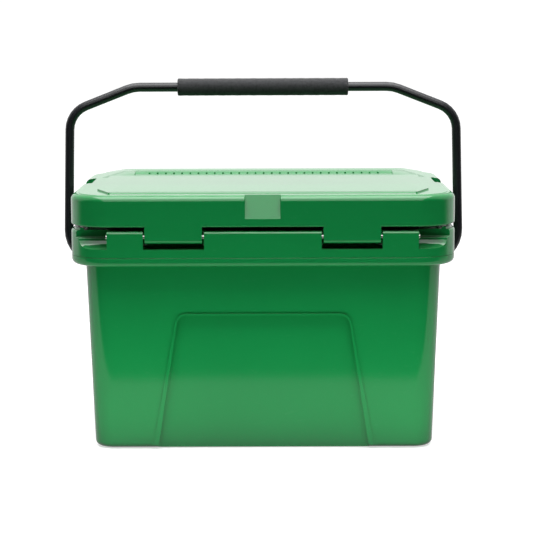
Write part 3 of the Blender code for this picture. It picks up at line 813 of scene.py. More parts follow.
def scoop_mesh(side):
    """Tool for a corner scoop: a cove that rises to a ledge, with a round outer end."""
    inner_x, outer_x = 0.1705, 0.2105
    floor_z, ledge_z = 0.229, 0.240
    end = round_corners([
        (inner_x, floor_z - 0.0002, 0.0),
        (outer_x, floor_z - 0.0002, 0.008),
        (outer_x, RIM_TOP + OUT, 0.0),
        (inner_x, RIM_TOP + OUT, 0.0),
    ])
    mesh = bmesh.new()
    outside, cove_y, back_y = -HALF_Y - OUT, -HALF_Y + 0.0155, -HALF_Y + 0.0200
    add_prism(mesh, "Y", [(side * x, z) for x, z in end], outside, back_y)
    tool = add_piece("scoop", mesh)
    section = round_corners([
        (outside, floor_z, 0.0),
        (cove_y, floor_z, 0.0105),
        (cove_y, ledge_z, 0.0008),
        (back_y, ledge_z + 0.0004, 0.0008),
        (back_y, RIM_TOP + 2 * OUT, 0.0),
        (outside, RIM_TOP + 2 * OUT, 0.0),
    ])
    combine(tool, prisms([("X", section, *mirrored((0.15, 0.23), side))]), "INTERSECT")
    result = bmesh.new()
    result.from_mesh(tool.data)
    bpy.data.objects.remove(tool, do_unlink=True)
    return result


def make_rim_frame():
    body = settings().body
    band, web, plate = 0.024, 0.003, 0.0056
    mouth, bead_top = body.mouth_inset, RIM_TOP + 0.0026
    profile = round_corners([
        (0.0, SEAM_Z, 0.0003),
        (0.0, RIM_TOP, body.rim_round),
        (0.0034, RIM_TOP, 0.0),
        (0.0037, bead_top, 0.0008),
        (0.0067, bead_top, 0.0008),
        (0.0071, RIM_TOP, 0.0),
        (RABBET_INSET, RIM_TOP, 0.0008),
        (RABBET_INSET, RABBET_Z, 0.0),
        (mouth, RABBET_Z, 0.0),
        (mouth, SEAM_Z, 0.0),
        (mouth - web, SEAM_Z, 0.0),
        (mouth - web, RIM_TOP - plate, 0.0),
        (band, RIM_TOP - plate, 0.0),
        (band, SEAM_Z, 0.0),
    ])
    rim = make_frame("rim_frame", profile, closed=True)
    notch_x, notch_floor, notch_back = (0.0643, 0.1310), 0.2287, -HALF_Y + 0.0215
    section = round_corners([
        (-HALF_Y - OUT, notch_floor, 0.0),
        (notch_back, notch_floor, 0.004),
        (notch_back, RIM_TOP + OUT, 0.0),
        (-HALF_Y - OUT, RIM_TOP + OUT, 0.0),
    ])
    cuts = [("X", section, *mirrored(notch_x, side)) for side, _word in SIDES]
    cuts += latch_bays(SEAM_Z - OUT, RIM_TOP + OUT)
    combine(rim, prisms(cuts), "DIFFERENCE")
    hinge_side = rectangle(-0.19, -HALF_Y - OUT, 0.19, -HALF_Y + 0.0095)
    combine(rim, prisms([("Z", hinge_side, RIM_TOP + 0.0001, RIM_TOP + OUT)]), "DIFFERENCE")
    for side, _word in SIDES:
        combine(rim, scoop_mesh(side), "DIFFERENCE")
    bores = []
    pin_span = (low("hinge_pin_right")[0] - GAP, high("hinge_pin_right")[0] - 0.0017)
    pin_r = high("hinge_pin_right")[2] - HINGE.z + GAP
    latch_r = high("latch_pin_right")[2] - LATCH.z + GAP
    reach = high("latch_pin_right")[0] - LATCH.x + GAP
    for side, _word in SIDES:
        bores.append(("X", circle((HINGE.y, HINGE.z), pin_r), *mirrored(pin_span, side)))
        span = (side * LATCH.x - reach, side * LATCH.x + reach)
        bores.append(("X", circle((LATCH.y, LATCH.z), latch_r), *span))
    combine(rim, prisms(bores), "DIFFERENCE")
    tidy_faces(rim)
    zones = bay_zones(SEAM_Z - EDGE, RIM_TOP + EDGE)
    for side, _word in SIDES:
        near, far = mirrored((0.0630, 0.2120), side)
        zones.append(((near, -HALF_Y - EDGE, 0.2280), (far, -HALF_Y + 0.023, RIM_TOP + EDGE)))
    soften(rim, 0.0011, zones, segments=3)
    return finish(rim, "body", "green_plastic", green_material(), "body_rim")


def make_tub():
    """The white tub: a lip in the rim's rabbet, leaning walls and a round-cornered floor."""
    wall = 0.0025
    lip = RABBET_INSET + GAP
    mouth_inset, floor_inset = 0.0493, 0.0553
    floor_z = TUB_BOTTOM + wall
    rabbet = RABBET_Z + GAP
    profile = round_corners([
        (floor_inset + 0.02, TUB_BOTTOM, 0.0),
        (floor_inset - wall, TUB_BOTTOM, 0.010),
        (mouth_inset - wall, rabbet, 0.0),
        (lip, rabbet, 0.0),
        (lip, RIM_TOP, 0.0008),
        (mouth_inset, RIM_TOP, 0.0016),
        (floor_inset, floor_z, 0.010),
        (floor_inset + 0.02, floor_z, 0.0),
        (floor_inset + 0.024, floor_z - 0.0006, 0.0),
    ], closed=False)
    tub = make_frame("white_tub", profile)
    return finish(tub, "body", "white_liner", white_material(), "body_liner")


# ---------------------------------------------------------------- lid


def panel_outline():
    """Plan of the raised panel, with its hinge-side corners cut off: (x, y)."""
    half = settings().lid.panel_half
    side, run = 0.016, 0.040
    right = [
        (half - side, PANEL_NEAR, 0.001),
        (half, PANEL_NEAR + run, 0.001),
        (half, PANEL_FAR, 0.0005),
    ]
    return round_corners(right + [(-x, y, radius) for x, y, radius in reversed(right)])


def ridge_mesh(lid_top):
    """The ridge along the latch side: a long ramp up to its crest, and three short slopes."""
    mesh = bmesh.new()
    rings = []
    foot, crest = (0.197, 0.060, 0.1405, lid_top - 0.0002), (0.172, 0.104, 0.1340, RIDGE_TOP)
    for half, near, far, z in (foot, crest):
        rings.append([Vector((x, y, z)) for x, y in rectangle(-half, near, half, far)])
    join_rings(mesh, rings)
    return mesh


def ruler_step(panel_top):
    """What is cut from the ramp to leave the ruler's slope: (axis, outline, start, end)."""
    near = 0.040
    face = round_corners([
        (near, panel_top, 0.0),
        (RULER_Y - 0.0110, panel_top, 0.0008),
        (RULER_Y, RIDGE_TOP + 0.0002, 0.0),
        (RULER_Y, RIDGE_TOP + OUT, 0.0),
        (near, RIDGE_TOP + OUT, 0.0),
    ])
    return ("X", face, -RULER_HALF, RULER_HALF)


def tick_shapes(panel_top):
    """Short grooves across the foot of the ruler's slope, one for each of its marks."""
    lid = settings().lid
    half, deep, rise = 0.0010, 0.0010, 0.0021
    shapes = []
    for tick in range(lid.tick_count):
        x = (tick - (lid.tick_count - 1) / 2) * lid.tick_pitch
        outline = rectangle(x - half, RULER_Y - 0.0150, x + half, RULER_Y - 0.0070, half * 0.9)
        shapes.append(("Z", outline, panel_top - deep, panel_top + rise))
    return shapes


def keeper_outline(x):
    """T-shaped slot for a latch's neck and head: (x, z)."""
    neck, head, ledge = 0.0082, settings().latch.bay_half, 0.2670
    top = RIDGE_TOP + OUT
    corners = ((neck, LID_BOTTOM - OUT), (neck, ledge), (head, ledge), (head, top))
    right = [(x + u, v) for u, v in corners]
    return right + [(x - u, v) for u, v in reversed(corners)]


def make_lid_moulding():
    lid = settings().lid
    top = LID_BOTTOM + lid.crown
    panel_top = top + lid.panel_rise
    step, ceiling, lower_edge = 0.0005, 0.2835, LID_BOTTOM + 0.0008
    profile = round_corners([
        (LID_BAND, ceiling, 0.0),
        (LID_BAND, LID_BOTTOM, 0.0),
        (LID_BAND - 0.004, LID_BOTTOM, 0.0004),
        (LID_BAND - 0.005, lower_edge, 0.0004),
        (0.0, lower_edge, 0.0018),
        (0.0, top - step, lid.edge_round),
        (0.0084, top - step, 0.0004),
        (0.0090, top, 0.0006),
        (0.0150, top, 0.0),
    ], closed=False)
    piece = make_frame("lid_moulding", profile)
    tab_x, tab_back, tab_round = (0.0664, 0.1292), -HALF_Y + 0.0175, 0.005
    root = LID_BOTTOM + 0.0024
    tab = round_corners([
        (-HALF_Y, root, 0.0),
        (-HALF_Y, TAB_BOTTOM, tab_round),
        (tab_back, TAB_BOTTOM, tab_round),
        (tab_back, root, 0.0),
    ])
    combine(piece, prisms([("X", tab, *mirrored(tab_x, side)) for side, _word in SIDES]), "UNION")
    combine(piece, prisms([("Z", panel_outline(), top - step, panel_top)]), "UNION")
    edge, reach = lid.panel_half - 0.017, -0.1262
    shave = [
        (reach - 0.004, top + 0.0001),
        (reach, top + 0.0001),
        (reach + 0.008, panel_top + 0.0002),
        (reach + 0.008, top + OUT),
        (reach - 0.004, top + OUT),
    ]
    combine(piece, prisms([("X", shave, -edge, edge)]), "DIFFERENCE")
    combine(piece, ridge_mesh(top), "UNION")
    combine(piece, prisms([ruler_step(panel_top)]), "DIFFERENCE")
    slope_z = 0.2624
    slope = lid.notch_depth / (top - slope_z)
    wedge = [
        (-HALF_Y - slope * OUT, slope_z - OUT),
        (-HALF_Y + slope * (top + OUT - slope_z), top + OUT),
        (-HALF_Y - OUT, top + OUT),
        (-HALF_Y - OUT, slope_z - OUT),
    ]
    cuts = [("X", wedge, -lid.notch_half, lid.notch_half)]
    slot_x, (slot_near, slot_far) = HALF_X - 0.0130, (-0.005, 0.053)
    pin_r = high("hinge_pin_right")[2] - HINGE.z + GAP
    bore_span = (tab_x[0] - GAP, tab_x[1] + GAP)
    for side, _word in SIDES:
        slot = round_corners([
            (side * slot_x, slot_near, 0.0015),
            (side * (HALF_X + OUT), slot_near, 0.0),
            (side * (HALF_X + OUT), slot_far, 0.0),
            (side * slot_x, slot_far, 0.0015),
        ])
        cuts.append(("Z", slot, LID_BOTTOM - OUT, top + OUT))
        keeper = keeper_outline(side * LATCH.x)
        cuts.append(("Y", keeper, LATCH.y - 0.0012, HALF_Y + OUT))
        cuts.append(("X", circle((HINGE.y, HINGE.z), pin_r), *mirrored(bore_span, side)))
    combine(piece, prisms(cuts), "DIFFERENCE")
    combine(piece, prisms(tick_shapes(panel_top)), "DIFFERENCE")
    tidy_faces(piece)
    half = lid.panel_half
    outside, back, top_edge = -HALF_Y - EDGE, HALF_Y + EDGE, top + EDGE
    panel = ((-half - EDGE, -0.127, top - 0.0002), (half + EDGE, 0.090, top + 0.002))
    ridge = ((-0.183, 0.1075, top + 0.0018), (0.183, 0.147, RIDGE_TOP + EDGE))
    notch = ((-0.022, outside, 0.255), (0.022, -0.137, top_edge))
    zones = []
    for side, _word in SIDES:
        near, far = mirrored((0.0655, 0.1300), side)
        zones.append(((near, outside, TAB_BOTTOM - EDGE), (far, -0.131, LID_BOTTOM - 0.0005)))
        near, far = mirrored((slot_x - EDGE, HALF_X + EDGE), side)
        low_corner = (near, slot_near - 0.002, LID_BOTTOM + 0.002)
        zones.append((low_corner, (far, slot_far + 0.002, top_edge)))
        near, far = side * LATCH.x - 0.019, side * LATCH.x + 0.019
        zones.append(((near, LATCH.y - 0.002, LID_BOTTOM + 0.0005), (far, back, top_edge)))
    soften(piece, 0.0012, [panel], segments=3)
    soften(piece, 0.0008, [ridge], segments=3, least_angle=20)
    soften(piece, 0.0006, zones, segments=3)
    soften(piece, 0.0007, [notch], segments=2, least_angle=15)
    return finish(piece, "lid", "green_plastic", green_material(), "lid_shell", angle=20)


def make_lid_plug():
    """The white pan under the lid: a flange, a plug that enters the tub and a framed underside."""
    plug, wall, flange = 0.052, 0.0025, LID_BAND + GAP
    under = LID_BOTTOM + GAP
    profile = round_corners([
        (plug + 0.022, PLUG_BOTTOM + 0.0010, 0.0),
        (plug + 0.018, PLUG_BOTTOM + 0.0010, 0.0005),
        (plug + 0.016, PLUG_BOTTOM, 0.0005),
        (plug, PLUG_BOTTOM, 0.005),
        (plug, under, 0.002),
        (flange, under, 0.0008),
        (flange, under + wall, 0.0),
        (plug + wall, under + wall, 0.0),
        (plug + wall, PLUG_BOTTOM + 0.0055, 0.0),
        (plug + 0.006, PLUG_BOTTOM + wall, 0.0),
    ], closed=False)
    piece = make_frame("lid_plug", profile)
    return finish(piece, "lid", "white_liner", white_material(), "lid_liner")


def make_lid_seal():
    """The gasket: a strip with a rounded bulb that meets the rim."""
    base = low("lid_gasket")[2]
    top = LID_BOTTOM
    outer, inner = 0.0385, 0.0465
    profile = round_corners([
        (inner, base, 0.0018),
        (outer, base, 0.0018),
        (outer, top, 0.0004),
        (inner, top, 0.0004),
    ])
    piece = make_frame("lid_seal", profile, closed=True)
    return finish(piece, "lid", "gasket_rubber", rubber_material(), "lid_gasket")


def make_insulation():
    """The foam cores stay as the frame has them, and get a foamed finish."""
    colour = tuple(settings().finish.foam)
    foam = cellular_material("insulation_foam_cells", colour, 0.85, 500.0, 0.0004, 0.8)
    for node in ("body_foam", "lid_foam"):
        item = frame["nodes"][node]
        for index in range(len(item.material_slots)):
            item.material_slots[index].material = foam


# ---------------------------------------------------------------- pins, bail and grip


def turned_piece(name, axis, centre, corners, closed=False):
    mesh = bmesh.new()
    add_turned(mesh, axis, centre, round_corners(corners, closed), closed)
    return add_piece(name, mesh)


def make_hinge_pins():
    """Two steel pins with rounded ends, each with a small centre dimple."""
    for side, word in SIDES:
        near, far = low("hinge_pin_right")[0], high("hinge_pin_right")[0]
        radius = high("hinge_pin_right")[2] - HINGE.z
        corners = [
            (side * near, 0.0008, 0.0),
            (side * near, radius, 0.0004),
            (side * far, radius, 0.0007),
            (side * far, 0.0012, 0.0003),
            (side * (far - 0.0008), 0.0004, 0.0),
        ]
        pin = turned_piece("hinge_rod_" + word, "X", HINGE, corners)
        finish(pin, "body", "bright_steel", steel_material(), "hinge_pin_" + word)


def make_latch_pins():
    for side, word in SIDES:
        reach = high("latch_pin_right")[0] - LATCH.x
        radius = high("latch_pin_right")[2] - LATCH.z
        centre = side * LATCH.x
        corners = [
            (centre - reach, 0.0005, 0.0),
            (centre - reach, radius, 0.0004),
            (centre + reach, radius, 0.0004),
            (centre + reach, 0.0005, 0.0),
        ]
        pin = turned_piece("latch_rod_" + word, "X", LATCH, corners)
        finish(pin, "body", "bright_steel", steel_material(), "latch_pin_" + word)


def bail_path():
    """Centre line of the bail from tip to tip: (x, z)."""
    bail = settings().bail
    tip_x = high("bail_handle")[0] - 0.0573
    knee_z = high("bail_grip")[2] - bail.grip_radius
    right = [
        (tip_x, BAIL.z, 0.0),
        (bail.spread, BAIL.z, 0.036),
        (bail.shoulder, bail.shoulder_z, 0.030),
        (bail.knee, knee_z, 0.040),
    ]
    left = [(-x, z, radius) for x, z, radius in right]
    return round_corners(left + right[::-1], closed=False)


def sweep(mesh, path, radius, end_round):
    """A round rod along a path in the XZ plane at the bail's depth, with rounded ends."""
    last = len(path) - 1
    sides = ROUND_SIDES // 2
    ease = end_round * 0.3
    rings = []
    for index, point in enumerate(path):
        before = path[max(index - 1, 0)]
        after = path[min(index + 1, last)]
        along = (after - before).normalized()
        across = Vector((-along.y, along.x))
        spots = [(0.0, radius)]
        if index == 0:
            spots = [(0.0, radius - end_round), (ease, radius - ease), (end_round, radius)]
        elif index == last:
            spots = [(-end_round, radius), (-ease, radius - ease), (0.0, radius - end_round)]
        for shift, size in spots:
            ring = []
            for step in range(sides):
                turn = math.tau * step / sides
                flat = point + along * shift + across * size * math.cos(turn)
                ring.append(Vector((flat.x, BAIL.y + size * math.sin(turn), flat.y)))
            rings.append(ring)
    join_rings(mesh, rings)


def make_bail_rod():
    mesh = bmesh.new()
    sweep(mesh, bail_path(), settings().bail.rod, 0.0008)
    rod = add_piece("bail_rod", mesh)
    return finish(rod, "bail", "black_paint", paint_material(), "bail_handle")


def make_grip():
    """A tube of foam rubber on the bar, with square-cut, slightly softened ends."""
    bail = settings().bail
    half = high("bail_grip")[0]
    bar_z = high("bail_grip")[2] - bail.grip_radius
    bore = bail.rod + GAP
    outside = bail.grip_radius
    softened, eased, swelling, count = 0.0012, 0.0004, 0.00012, 60
    spots = [
        (-half, bore),
        (-half, outside - softened),
        (-half + eased, outside - eased),
        (-half + softened, outside),
    ]
    for step in range(1, count):
        x = -half + 2 * half * step / count
        swell = swelling * math.sin(step * 1.7) * math.sin(step * 0.53)
        spots.append((x, outside - swelling + swell))
    spots += [
        (half - softened, outside),
        (half - eased, outside - eased),
        (half, outside - softened),
        (half, bore),
    ]
    mesh = bmesh.new()
    add_turned(mesh, "X", Vector((0.0, BAIL.y, bar_z)), spots, closed=True)
    grip = add_piece("foam_grip", mesh)
    colour = tuple(settings().finish.grip)
    material = cellular_material("grip_foam_cells", colour, 0.85, 1500.0, 0.0003, 0.5, sheen=0.06)
    finish(grip, "bail", "grip_foam", material, "bail_grip")
    return grip


def make_bail_fittings():
    """A flanged nylon bush in each wall and a steel collar that holds the rod's tip."""
    for side, word in SIDES:
        near = side * low("bail_bush_right")[0]
        far = side * high("bail_bush_right")[0]
        flange_r = high("bail_bush_right")[1] - BAIL.y
        body_r, bore = 0.0089, 0.0071
        seat = far - side * 0.0012
        corners = [
            (near, bore, 0.0003),
            (near, body_r, 0.0004),
            (seat, body_r, 0.0),
            (seat, flange_r, 0.0002),
            (far, flange_r, 0.0005),
            (far, bore, 0.0005),
        ]
        bush = turned_piece("bail_bearing_" + word, "X", BAIL, corners, closed=True)
        finish(bush, "bail_bushes", "black_nylon", nylon_material(), "bail_bush_" + word)
        near = side * low("bail_retainer_right")[0]
        far = side * high("bail_retainer_right")[0]
        radius = high("bail_retainer_right")[1] - BAIL.y
        bore = settings().bail.rod + GAP
        corners = [
            (near, bore, 0.0003),
            (near, radius, 0.0005),
            (far, radius, 0.0005),
            (far, bore, 0.0003),
        ]
        collar = turned_piece("bail_collar_" + word, "X", BAIL, corners, closed=True)
        finish(collar, "bail", "bright_steel", steel_material(), "bail_retainer_" + word)


# ---------------------------------------------------------------- latches, feet and plugs


def make_latches():
    """Rubber latches that hang from their pins: an eye, a ribbed neck, a cross head and a lip."""
    latch = settings().latch
    for side, word in SIDES:
        x = side * LATCH.x
        eye_r = high("latch_right")[1] - LATCH.y
        bottom = low("latch_right")[2]
        head = (LATCH.z - 0.038, LATCH.z - 0.050)
        back, front = LATCH.y - latch.strap, LATCH.y
        neck = round_corners([
            (LATCH.y + eye_r, LATCH.z + eye_r, eye_r * 0.98),
            (LATCH.y - eye_r, LATCH.z + eye_r, eye_r * 0.98),
            (back, LATCH.z - 0.041, 0.0),
            (front, LATCH.z - 0.041, 0.0),
            (front + GAP, LATCH.z - eye_r, 0.0),
            (LATCH.y + eye_r, LATCH.z - 0.001, 0.0),
        ])
        strap = ("X", neck, x - latch.neck_half, x + latch.neck_half)
        piece = add_piece("latch_strap_" + word, prisms([strap]))
        cross = rectangle(LATCH.y - 0.0085, head[1], LATCH.y + 0.0005, head[0], 0.0018)
        combine(piece, prisms([("X", cross, x - latch.head_half, x + latch.head_half)]), "UNION")
        pull = round_corners([
            (back, head[1] + 0.003, 0.0),
            (LATCH.y - latch.strap / 2, bottom, 0.0008),
            (LATCH.y, bottom, 0.0012),
            (LATCH.y - 0.0015, head[1] + 0.003, 0.0),
        ])
        combine(piece, prisms([("X", pull, x - 0.010, x + 0.010)]), "UNION")
        eye = high("latch_pin_right")[2] - LATCH.z + GAP
        cuts = [("X", circle((LATCH.y, LATCH.z), eye), x - OUT, x + OUT)]
        wide = latch.neck_half + OUT
        for rib in range(4):
            z = LATCH.z - 0.013 - 0.006 * rib
            groove = rectangle(x - wide, z - 0.0008, x + wide, z + 0.0008, 0.0007)
            cuts.append(("Y", groove, front - 0.0007, front + 0.0006))
        combine(piece, prisms(cuts), "DIFFERENCE")
        tidy_faces(piece)
        whole = ((x - OUT, LATCH.y - OUT, bottom - OUT), (x + OUT, LATCH.y + OUT, LATCH.z + OUT))
        soften(piece, 0.0005, [whole], segments=2, least_angle=40)
        finish(piece, "latch_" + word, "latch_rubber", rubber_material(), "latch_" + word)


def make_feet():
    """Rubber feet with a ringed tread and a screw sunk in each of them."""
    radius = high("foot_front_right")[0] - FOOT[0]
    top = high("foot_front_right")[2]
    head_r = high("foot_screw_front_right")[0] - FOOT[0]
    head_low, stem_top = low("foot_screw_front_right")[2], high("foot_screw_front_right")[2]
    head_high, stem_r, sink = 0.0025, 0.002, 0.0028
    for side, word in SIDES:
        for end, place in ((-1, "rear_"), (1, "front_")):
            centre = Vector((side * FOOT[0], end * FOOT[1], 0.0))
            corners = [
                (top, stem_r + GAP, 0.0),
                (top, radius, 0.0004),
                (0.0, radius, 0.0012),
                (0.0, 0.0105, 0.0003),
                (0.0006, 0.0100, 0.0002),
                (0.0006, 0.0090, 0.0002),
                (0.0, 0.0085, 0.0003),
                (0.0, head_r + GAP, 0.0006),
                (sink, head_r + GAP, 0.0),
                (sink, stem_r + GAP, 0.0),
            ]
            foot = turned_piece("foot_pad_" + place + word, "Z", centre, corners, closed=True)
            finish(foot, "body", "foot_rubber", rubber_material(), "foot_" + place + word)
            corners = [
                (head_low, 0.0005, 0.0),
                (head_low, head_r, 0.0006),
                (head_high, head_r, 0.0002),
                (head_high, stem_r, 0.0),
                (stem_top - 0.001, stem_r, 0.0),
                (stem_top, stem_r * 0.5, 0.0),
            ]
            screw = turned_piece("foot_fixing_" + place + word, "Z", centre, corners)
            x, y = centre.x, centre.y
            for across, along in ((0.0005, 0.0024), (0.0024, 0.0005)):
                slot = rectangle(x - across, y - along, x + across, y + along)
                cut = ("Z", slot, head_low - 0.001, head_low + 0.0009)
                combine(screw, prisms([cut]), "DIFFERENCE")
            finish(screw, "body", "bright_steel", steel_material(), "foot_screw_" + place + word)


def make_fill_plugs():
    """Snap-in plugs that close the holes through which the foam was filled."""
    for _side, word in SIDES:
        node = "fill_plug_" + word
        centre = (low(node) + high(node)) / 2
        radius = high(node)[0] - centre[0]
        under, top = low(node)[2], high(node)[2]
        corners = [
            (top, 0.001, 0.0),
            (top, radius, 0.0003),
            (under, radius, 0.0008),
            (under, radius * 0.72, 0.0003),
            (under + 0.0006, radius * 0.66, 0.0003),
            (under + 0.0006, 0.001, 0.0),
        ]
        plug = turned_piece("foam_hole_plug_" + word, "Z", centre, corners)
        finish(plug, "body", "black_nylon", nylon_material(), node)


# ---------------------------------------------------------------- studio


def stage_piece(name, outline, z, material):
    mesh = bmesh.new()
    mesh.faces.new([mesh.verts.new(Vector((x, y, z))) for x, y in outline])
    piece = add_piece(name, mesh)
    piece.data.materials.append(material)
    return piece


def floor_material():
    """Pale paper with a very faint fibre."""
    material, tree, shader = new_material("pale_paper")
    where = add_node(tree, "ShaderNodeTexCoord", (-900, 0)).outputs["Object"]
    fibre = noise_node(tree, (-700, 0), where, 140.0, 6.0, 0.7)
    colour = mix_colours(tree, (-400, 100), fibre, (0.62, 0.62, 0.62), (0.66, 0.66, 0.66))
    tree.links.new(colour, shader.inputs["Base Color"])
    shader.inputs["Roughness"].default_value = 0.9
    shader.inputs["Specular IOR Level"].default_value = 0.1
    shader.inputs["Emission Color"].default_value = (1.0, 1.0, 1.0, 1.0)
    shader.inputs["Emission Strength"].default_value = 0.55
    return material


def glow_material(strength):
    material, _tree, shader = new_material("white_card")
    shader.inputs["Base Color"].default_value = (0.0, 0.0, 0.0, 1.0)
    shader.inputs["Specular IOR Level"].default_value = 0.0
    shader.inputs["Emission Color"].default_value = (1.0, 1.0, 1.0, 1.0)
    shader.inputs["Emission Strength"].default_value = strength
    return material


# Soft lights: name, place, the point they face, size, watts and whether they light surfaces or
# only show in the gloss
LIGHTS = (
    ("top_light", (0.0, -0.3, 1.9), (0.0, 0.0, 0.25), (1.8, 1.4), 44.0, "surfaces"),
    ("front_light", (0.0, -1.75, 1.30), (0.0, -0.15, 0.25), (1.7, 0.75), 1.5, "surfaces"),
    ("table_bounce", (0.0, -0.285, 0.003), (0.0, -0.25, 0.3), (0.8, 0.25), 1.9, "surfaces"),
    ("top_gloss", (0.0, -0.2, 1.9), (0.0, 0.0, 0.25), (1.9, 1.7), 60.0, "gloss"),
    ("front_gloss", (0.0, -1.6, 1.4), (0.0, -0.15, 0.27), (1.8, 1.4), 21.0, "gloss"),
)
CAMERA_PLACE = (0.011, -2.038, 0.487)
CAMERA_TURN = (90 - 8.375, 0.21, 0.15)
CAMERA_LENS = 117.4


def add_softbox(name, place, aim, size, power, use):
    light = bpy.data.lights.new(name, "AREA")
    light.shape = "RECTANGLE"
    light.size, light.size_y = size
    light.energy = power
    lamp = bpy.data.objects.new(name, light)
    lamp.location = place
    lamp.rotation_euler = (Vector(aim) - Vector(place)).to_track_quat("-Z", "Y").to_euler()
    lamp.visible_glossy = use == "gloss"
    lamp.visible_diffuse = use == "surfaces"
    lamp.visible_camera = False
    bpy.context.scene.collection.objects.link(lamp)


def make_world():
    """A white room, dark low down on the hinge side; the camera sees plain white everywhere."""
    world = bpy.data.worlds.new("white_studio")
    world.use_nodes = True
    bpy.context.scene.world = world
    tree = world.node_tree
    tree.nodes.clear()
    where = add_node(tree, "ShaderNodeTexCoord", (-1000, 0)).outputs["Generated"]
    slant = add_node(tree, "ShaderNodeVectorMath", (-800, 0), operation="DOT_PRODUCT")
    slant.inputs[1].default_value = (0.0, 1.0, 0.9)
    tree.links.new(where, slant.inputs[0])
    ramp = add_node(tree, "ShaderNodeMapRange", (-600, 0), interpolation_type="SMOOTHSTEP")
    tree.links.new(slant.outputs["Value"], ramp.inputs["Value"])
    low_end, high_end = (-0.15, 0.03), (0.35, 1.05)
    for word, (slant_value, strength) in (("Min", low_end), ("Max", high_end)):
        ramp.inputs["From " + word].default_value = slant_value
        ramp.inputs["To " + word].default_value = strength
    room = add_node(tree, "ShaderNodeBackground", (-200, -100))
    room.inputs["Color"].default_value = (1.0, 1.0, 1.0, 1.0)
    tree.links.new(ramp.outputs["Result"], room.inputs["Strength"])
    seen = add_node(tree, "ShaderNodeBackground", (-200, 100))
    seen.inputs["Color"].default_value = (1.0, 1.0, 1.0, 1.0)
    seen.inputs["Strength"].default_value = 1.02
    path = add_node(tree, "ShaderNodeLightPath", (-400, 300))
    mix = add_node(tree, "ShaderNodeMixShader", (0, 0))
    tree.links.new(path.outputs["Is Camera Ray"], mix.inputs[0])
    tree.links.new(room.outputs[0], mix.inputs[1])
    tree.links.new(seen.outputs[0], mix.inputs[2])
    output = add_node(tree, "ShaderNodeOutputWorld", (200, 0))
    tree.links.new(mix.outputs[0], output.inputs["Surface"])


def make_studio():
    floor = stage_piece("floor", circle((0.0, 0.0), 9.0, 96), 0.0, floor_material())
    floor.visible_glossy = False
    floor.visible_diffuse = False
    card_outline = rectangle(-1.6, -HALF_Y - 0.26, 1.6, 1.6)
    card = stage_piece("floor_card", card_outline, -0.0005, glow_material(0.85))
    card.visible_camera = False
    card.visible_diffuse = False
    card.visible_shadow = False
    make_world()
    for light in LIGHTS:
        add_softbox(*light)
    camera_data = bpy.data.cameras.new("camera")
    camera_data.lens = CAMERA_LENS
    camera_data.sensor_width = 36.0
    camera = bpy.data.objects.new("camera", camera_data)
    camera.location = CAMERA_PLACE
    camera.rotation_euler = Euler([math.radians(turn) for turn in CAMERA_TURN], "XYZ")
    bpy.context.scene.collection.objects.link(camera)
    bpy.context.scene.camera = camera
    bpy.context.scene.view_settings.view_transform = "Standard"


# ---------------------------------------------------------------- operators


class IceBoxOperator:
    bl_options = {"REGISTER", "UNDO"}
    build = None

    def execute(self, context):
        type(self).build()
        return {"FINISHED"}


class ICEBOX_OT_outer_shell(IceBoxOperator, Operator):
    """Build the outer moulding of the body"""
    bl_idname = "icebox.outer_shell"
    bl_label = "Outer shell"
    build = staticmethod(make_outer_shell)


class ICEBOX_OT_rim_frame(IceBoxOperator, Operator):
    """Build the rim with its hinge notches, scoops and latch bays"""
    bl_idname = "icebox.rim_frame"
    bl_label = "Rim frame"
    build = staticmethod(make_rim_frame)


class ICEBOX_OT_tub(IceBoxOperator, Operator):
    """Build the white tub"""
    bl_idname = "icebox.tub"
    bl_label = "White tub"
    build = staticmethod(make_tub)


class ICEBOX_OT_lid_moulding(IceBoxOperator, Operator):
    """Build the lid with its tabs, notches, panel and ruler ridge"""
    bl_idname = "icebox.lid_moulding"
    bl_label = "Lid moulding"
    build = staticmethod(make_lid_moulding)


class ICEBOX_OT_lid_plug(IceBoxOperator, Operator):
    """Build the white pan under the lid"""
    bl_idname = "icebox.lid_plug"
    bl_label = "Lid plug"
    build = staticmethod(make_lid_plug)


class ICEBOX_OT_lid_seal(IceBoxOperator, Operator):
    """Build the rubber seal of the lid"""
    bl_idname = "icebox.lid_seal"
    bl_label = "Lid seal"
    build = staticmethod(make_lid_seal)


class ICEBOX_OT_insulation(IceBoxOperator, Operator):
    """Give the foam cores their finish"""
    bl_idname = "icebox.insulation"
    bl_label = "Insulation"
    build = staticmethod(make_insulation)


class ICEBOX_OT_hinge_pins(IceBoxOperator, Operator):
    """Build the two hinge pins"""
    bl_idname = "icebox.hinge_pins"
    bl_label = "Hinge pins"
    build = staticmethod(make_hinge_pins)


class ICEBOX_OT_bail_rod(IceBoxOperator, Operator):
    """Build the steel bail"""
    bl_idname = "icebox.bail_rod"
    bl_label = "Bail rod"
    build = staticmethod(make_bail_rod)


class ICEBOX_OT_grip(IceBoxOperator, Operator):
    """Build the foam grip"""
    bl_idname = "icebox.grip"
    bl_label = "Foam grip"
    build = staticmethod(make_grip)


class ICEBOX_OT_bail_fittings(IceBoxOperator, Operator):
    """Build the bushes and collars of the bail"""
    bl_idname = "icebox.bail_fittings"
    bl_label = "Bail fittings"
    build = staticmethod(make_bail_fittings)


class ICEBOX_OT_latches(IceBoxOperator, Operator):
    """Build the two rubber latches"""
    bl_idname = "icebox.latches"
    bl_label = "Latches"
    build = staticmethod(make_latches)


class ICEBOX_OT_latch_pins(IceBoxOperator, Operator):
    """Build the pins of the latches"""
    bl_idname = "icebox.latch_pins"
    bl_label = "Latch pins"
    build = staticmethod(make_latch_pins)


class ICEBOX_OT_feet(IceBoxOperator, Operator):
    """Build the four feet and their screws"""
    bl_idname = "icebox.feet"
    bl_label = "Feet"
    build = staticmethod(make_feet)


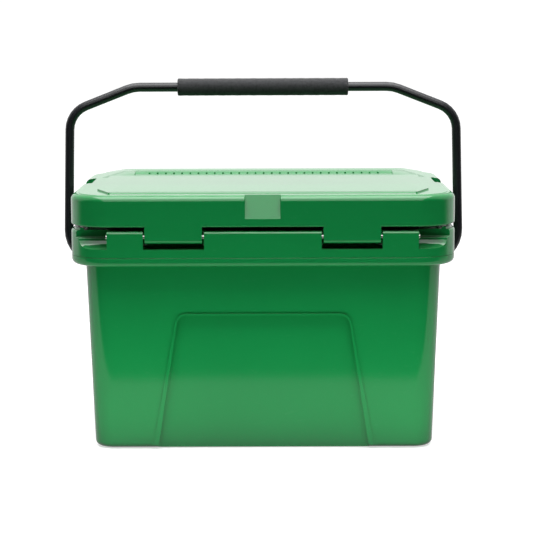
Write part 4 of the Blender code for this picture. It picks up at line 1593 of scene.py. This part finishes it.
class ICEBOX_OT_fill_plugs(IceBoxOperator, Operator):
    """Build the plugs of the foam holes"""
    bl_idname = "icebox.fill_plugs"
    bl_label = "Fill plugs"
    build = staticmethod(make_fill_plugs)


class ICEBOX_OT_studio(IceBoxOperator, Operator):
    """Set up the floor, the lights and the camera"""
    bl_idname = "icebox.studio"
    bl_label = "Studio"
    build = staticmethod(make_studio)


OPERATORS = (
    ICEBOX_OT_outer_shell,
    ICEBOX_OT_rim_frame,
    ICEBOX_OT_tub,
    ICEBOX_OT_lid_moulding,
    ICEBOX_OT_lid_plug,
    ICEBOX_OT_lid_seal,
    ICEBOX_OT_insulation,
    ICEBOX_OT_hinge_pins,
    ICEBOX_OT_bail_rod,
    ICEBOX_OT_grip,
    ICEBOX_OT_bail_fittings,
    ICEBOX_OT_latches,
    ICEBOX_OT_latch_pins,
    ICEBOX_OT_feet,
    ICEBOX_OT_fill_plugs,
    ICEBOX_OT_studio,
)


class ICEBOX_PT_sidebar(Panel):
    """Sizes, colours and the steps that build the ice box"""
    bl_label = "Ice box"
    bl_idname = "ICEBOX_PT_sidebar"
    bl_space_type = "VIEW_3D"
    bl_region_type = "UI"
    bl_category = "Ice Box"

    def draw(self, context):
        layout = self.layout
        chest = context.scene.ice_box
        for title, group in (
            ("Body", chest.body),
            ("Lid", chest.lid),
            ("Bail", chest.bail),
            ("Latches", chest.latch),
            ("Colours", chest.finish),
        ):
            box = layout.box()
            box.label(text=title)
            for name in group.__annotations__:
                box.prop(group, name)
        column = layout.column(align=True)
        for operator in OPERATORS:
            column.operator(operator.bl_idname)


CLASSES = (
    BodySizes,
    LidSizes,
    BailSizes,
    LatchSizes,
    Finishes,
    IceBoxSettings,
    *OPERATORS,
    ICEBOX_PT_sidebar,
)


def register():
    for item in CLASSES:
        bpy.utils.register_class(item)
    bpy.types.Scene.ice_box = PointerProperty(type=IceBoxSettings)


def unregister():
    del bpy.types.Scene.ice_box
    for item in reversed(CLASSES):
        bpy.utils.unregister_class(item)


def main():
    register()
    for operator in OPERATORS:
        area, name = operator.bl_idname.split(".")
        getattr(getattr(bpy.ops, area), name)()


if __name__ == "__main__":
    main()
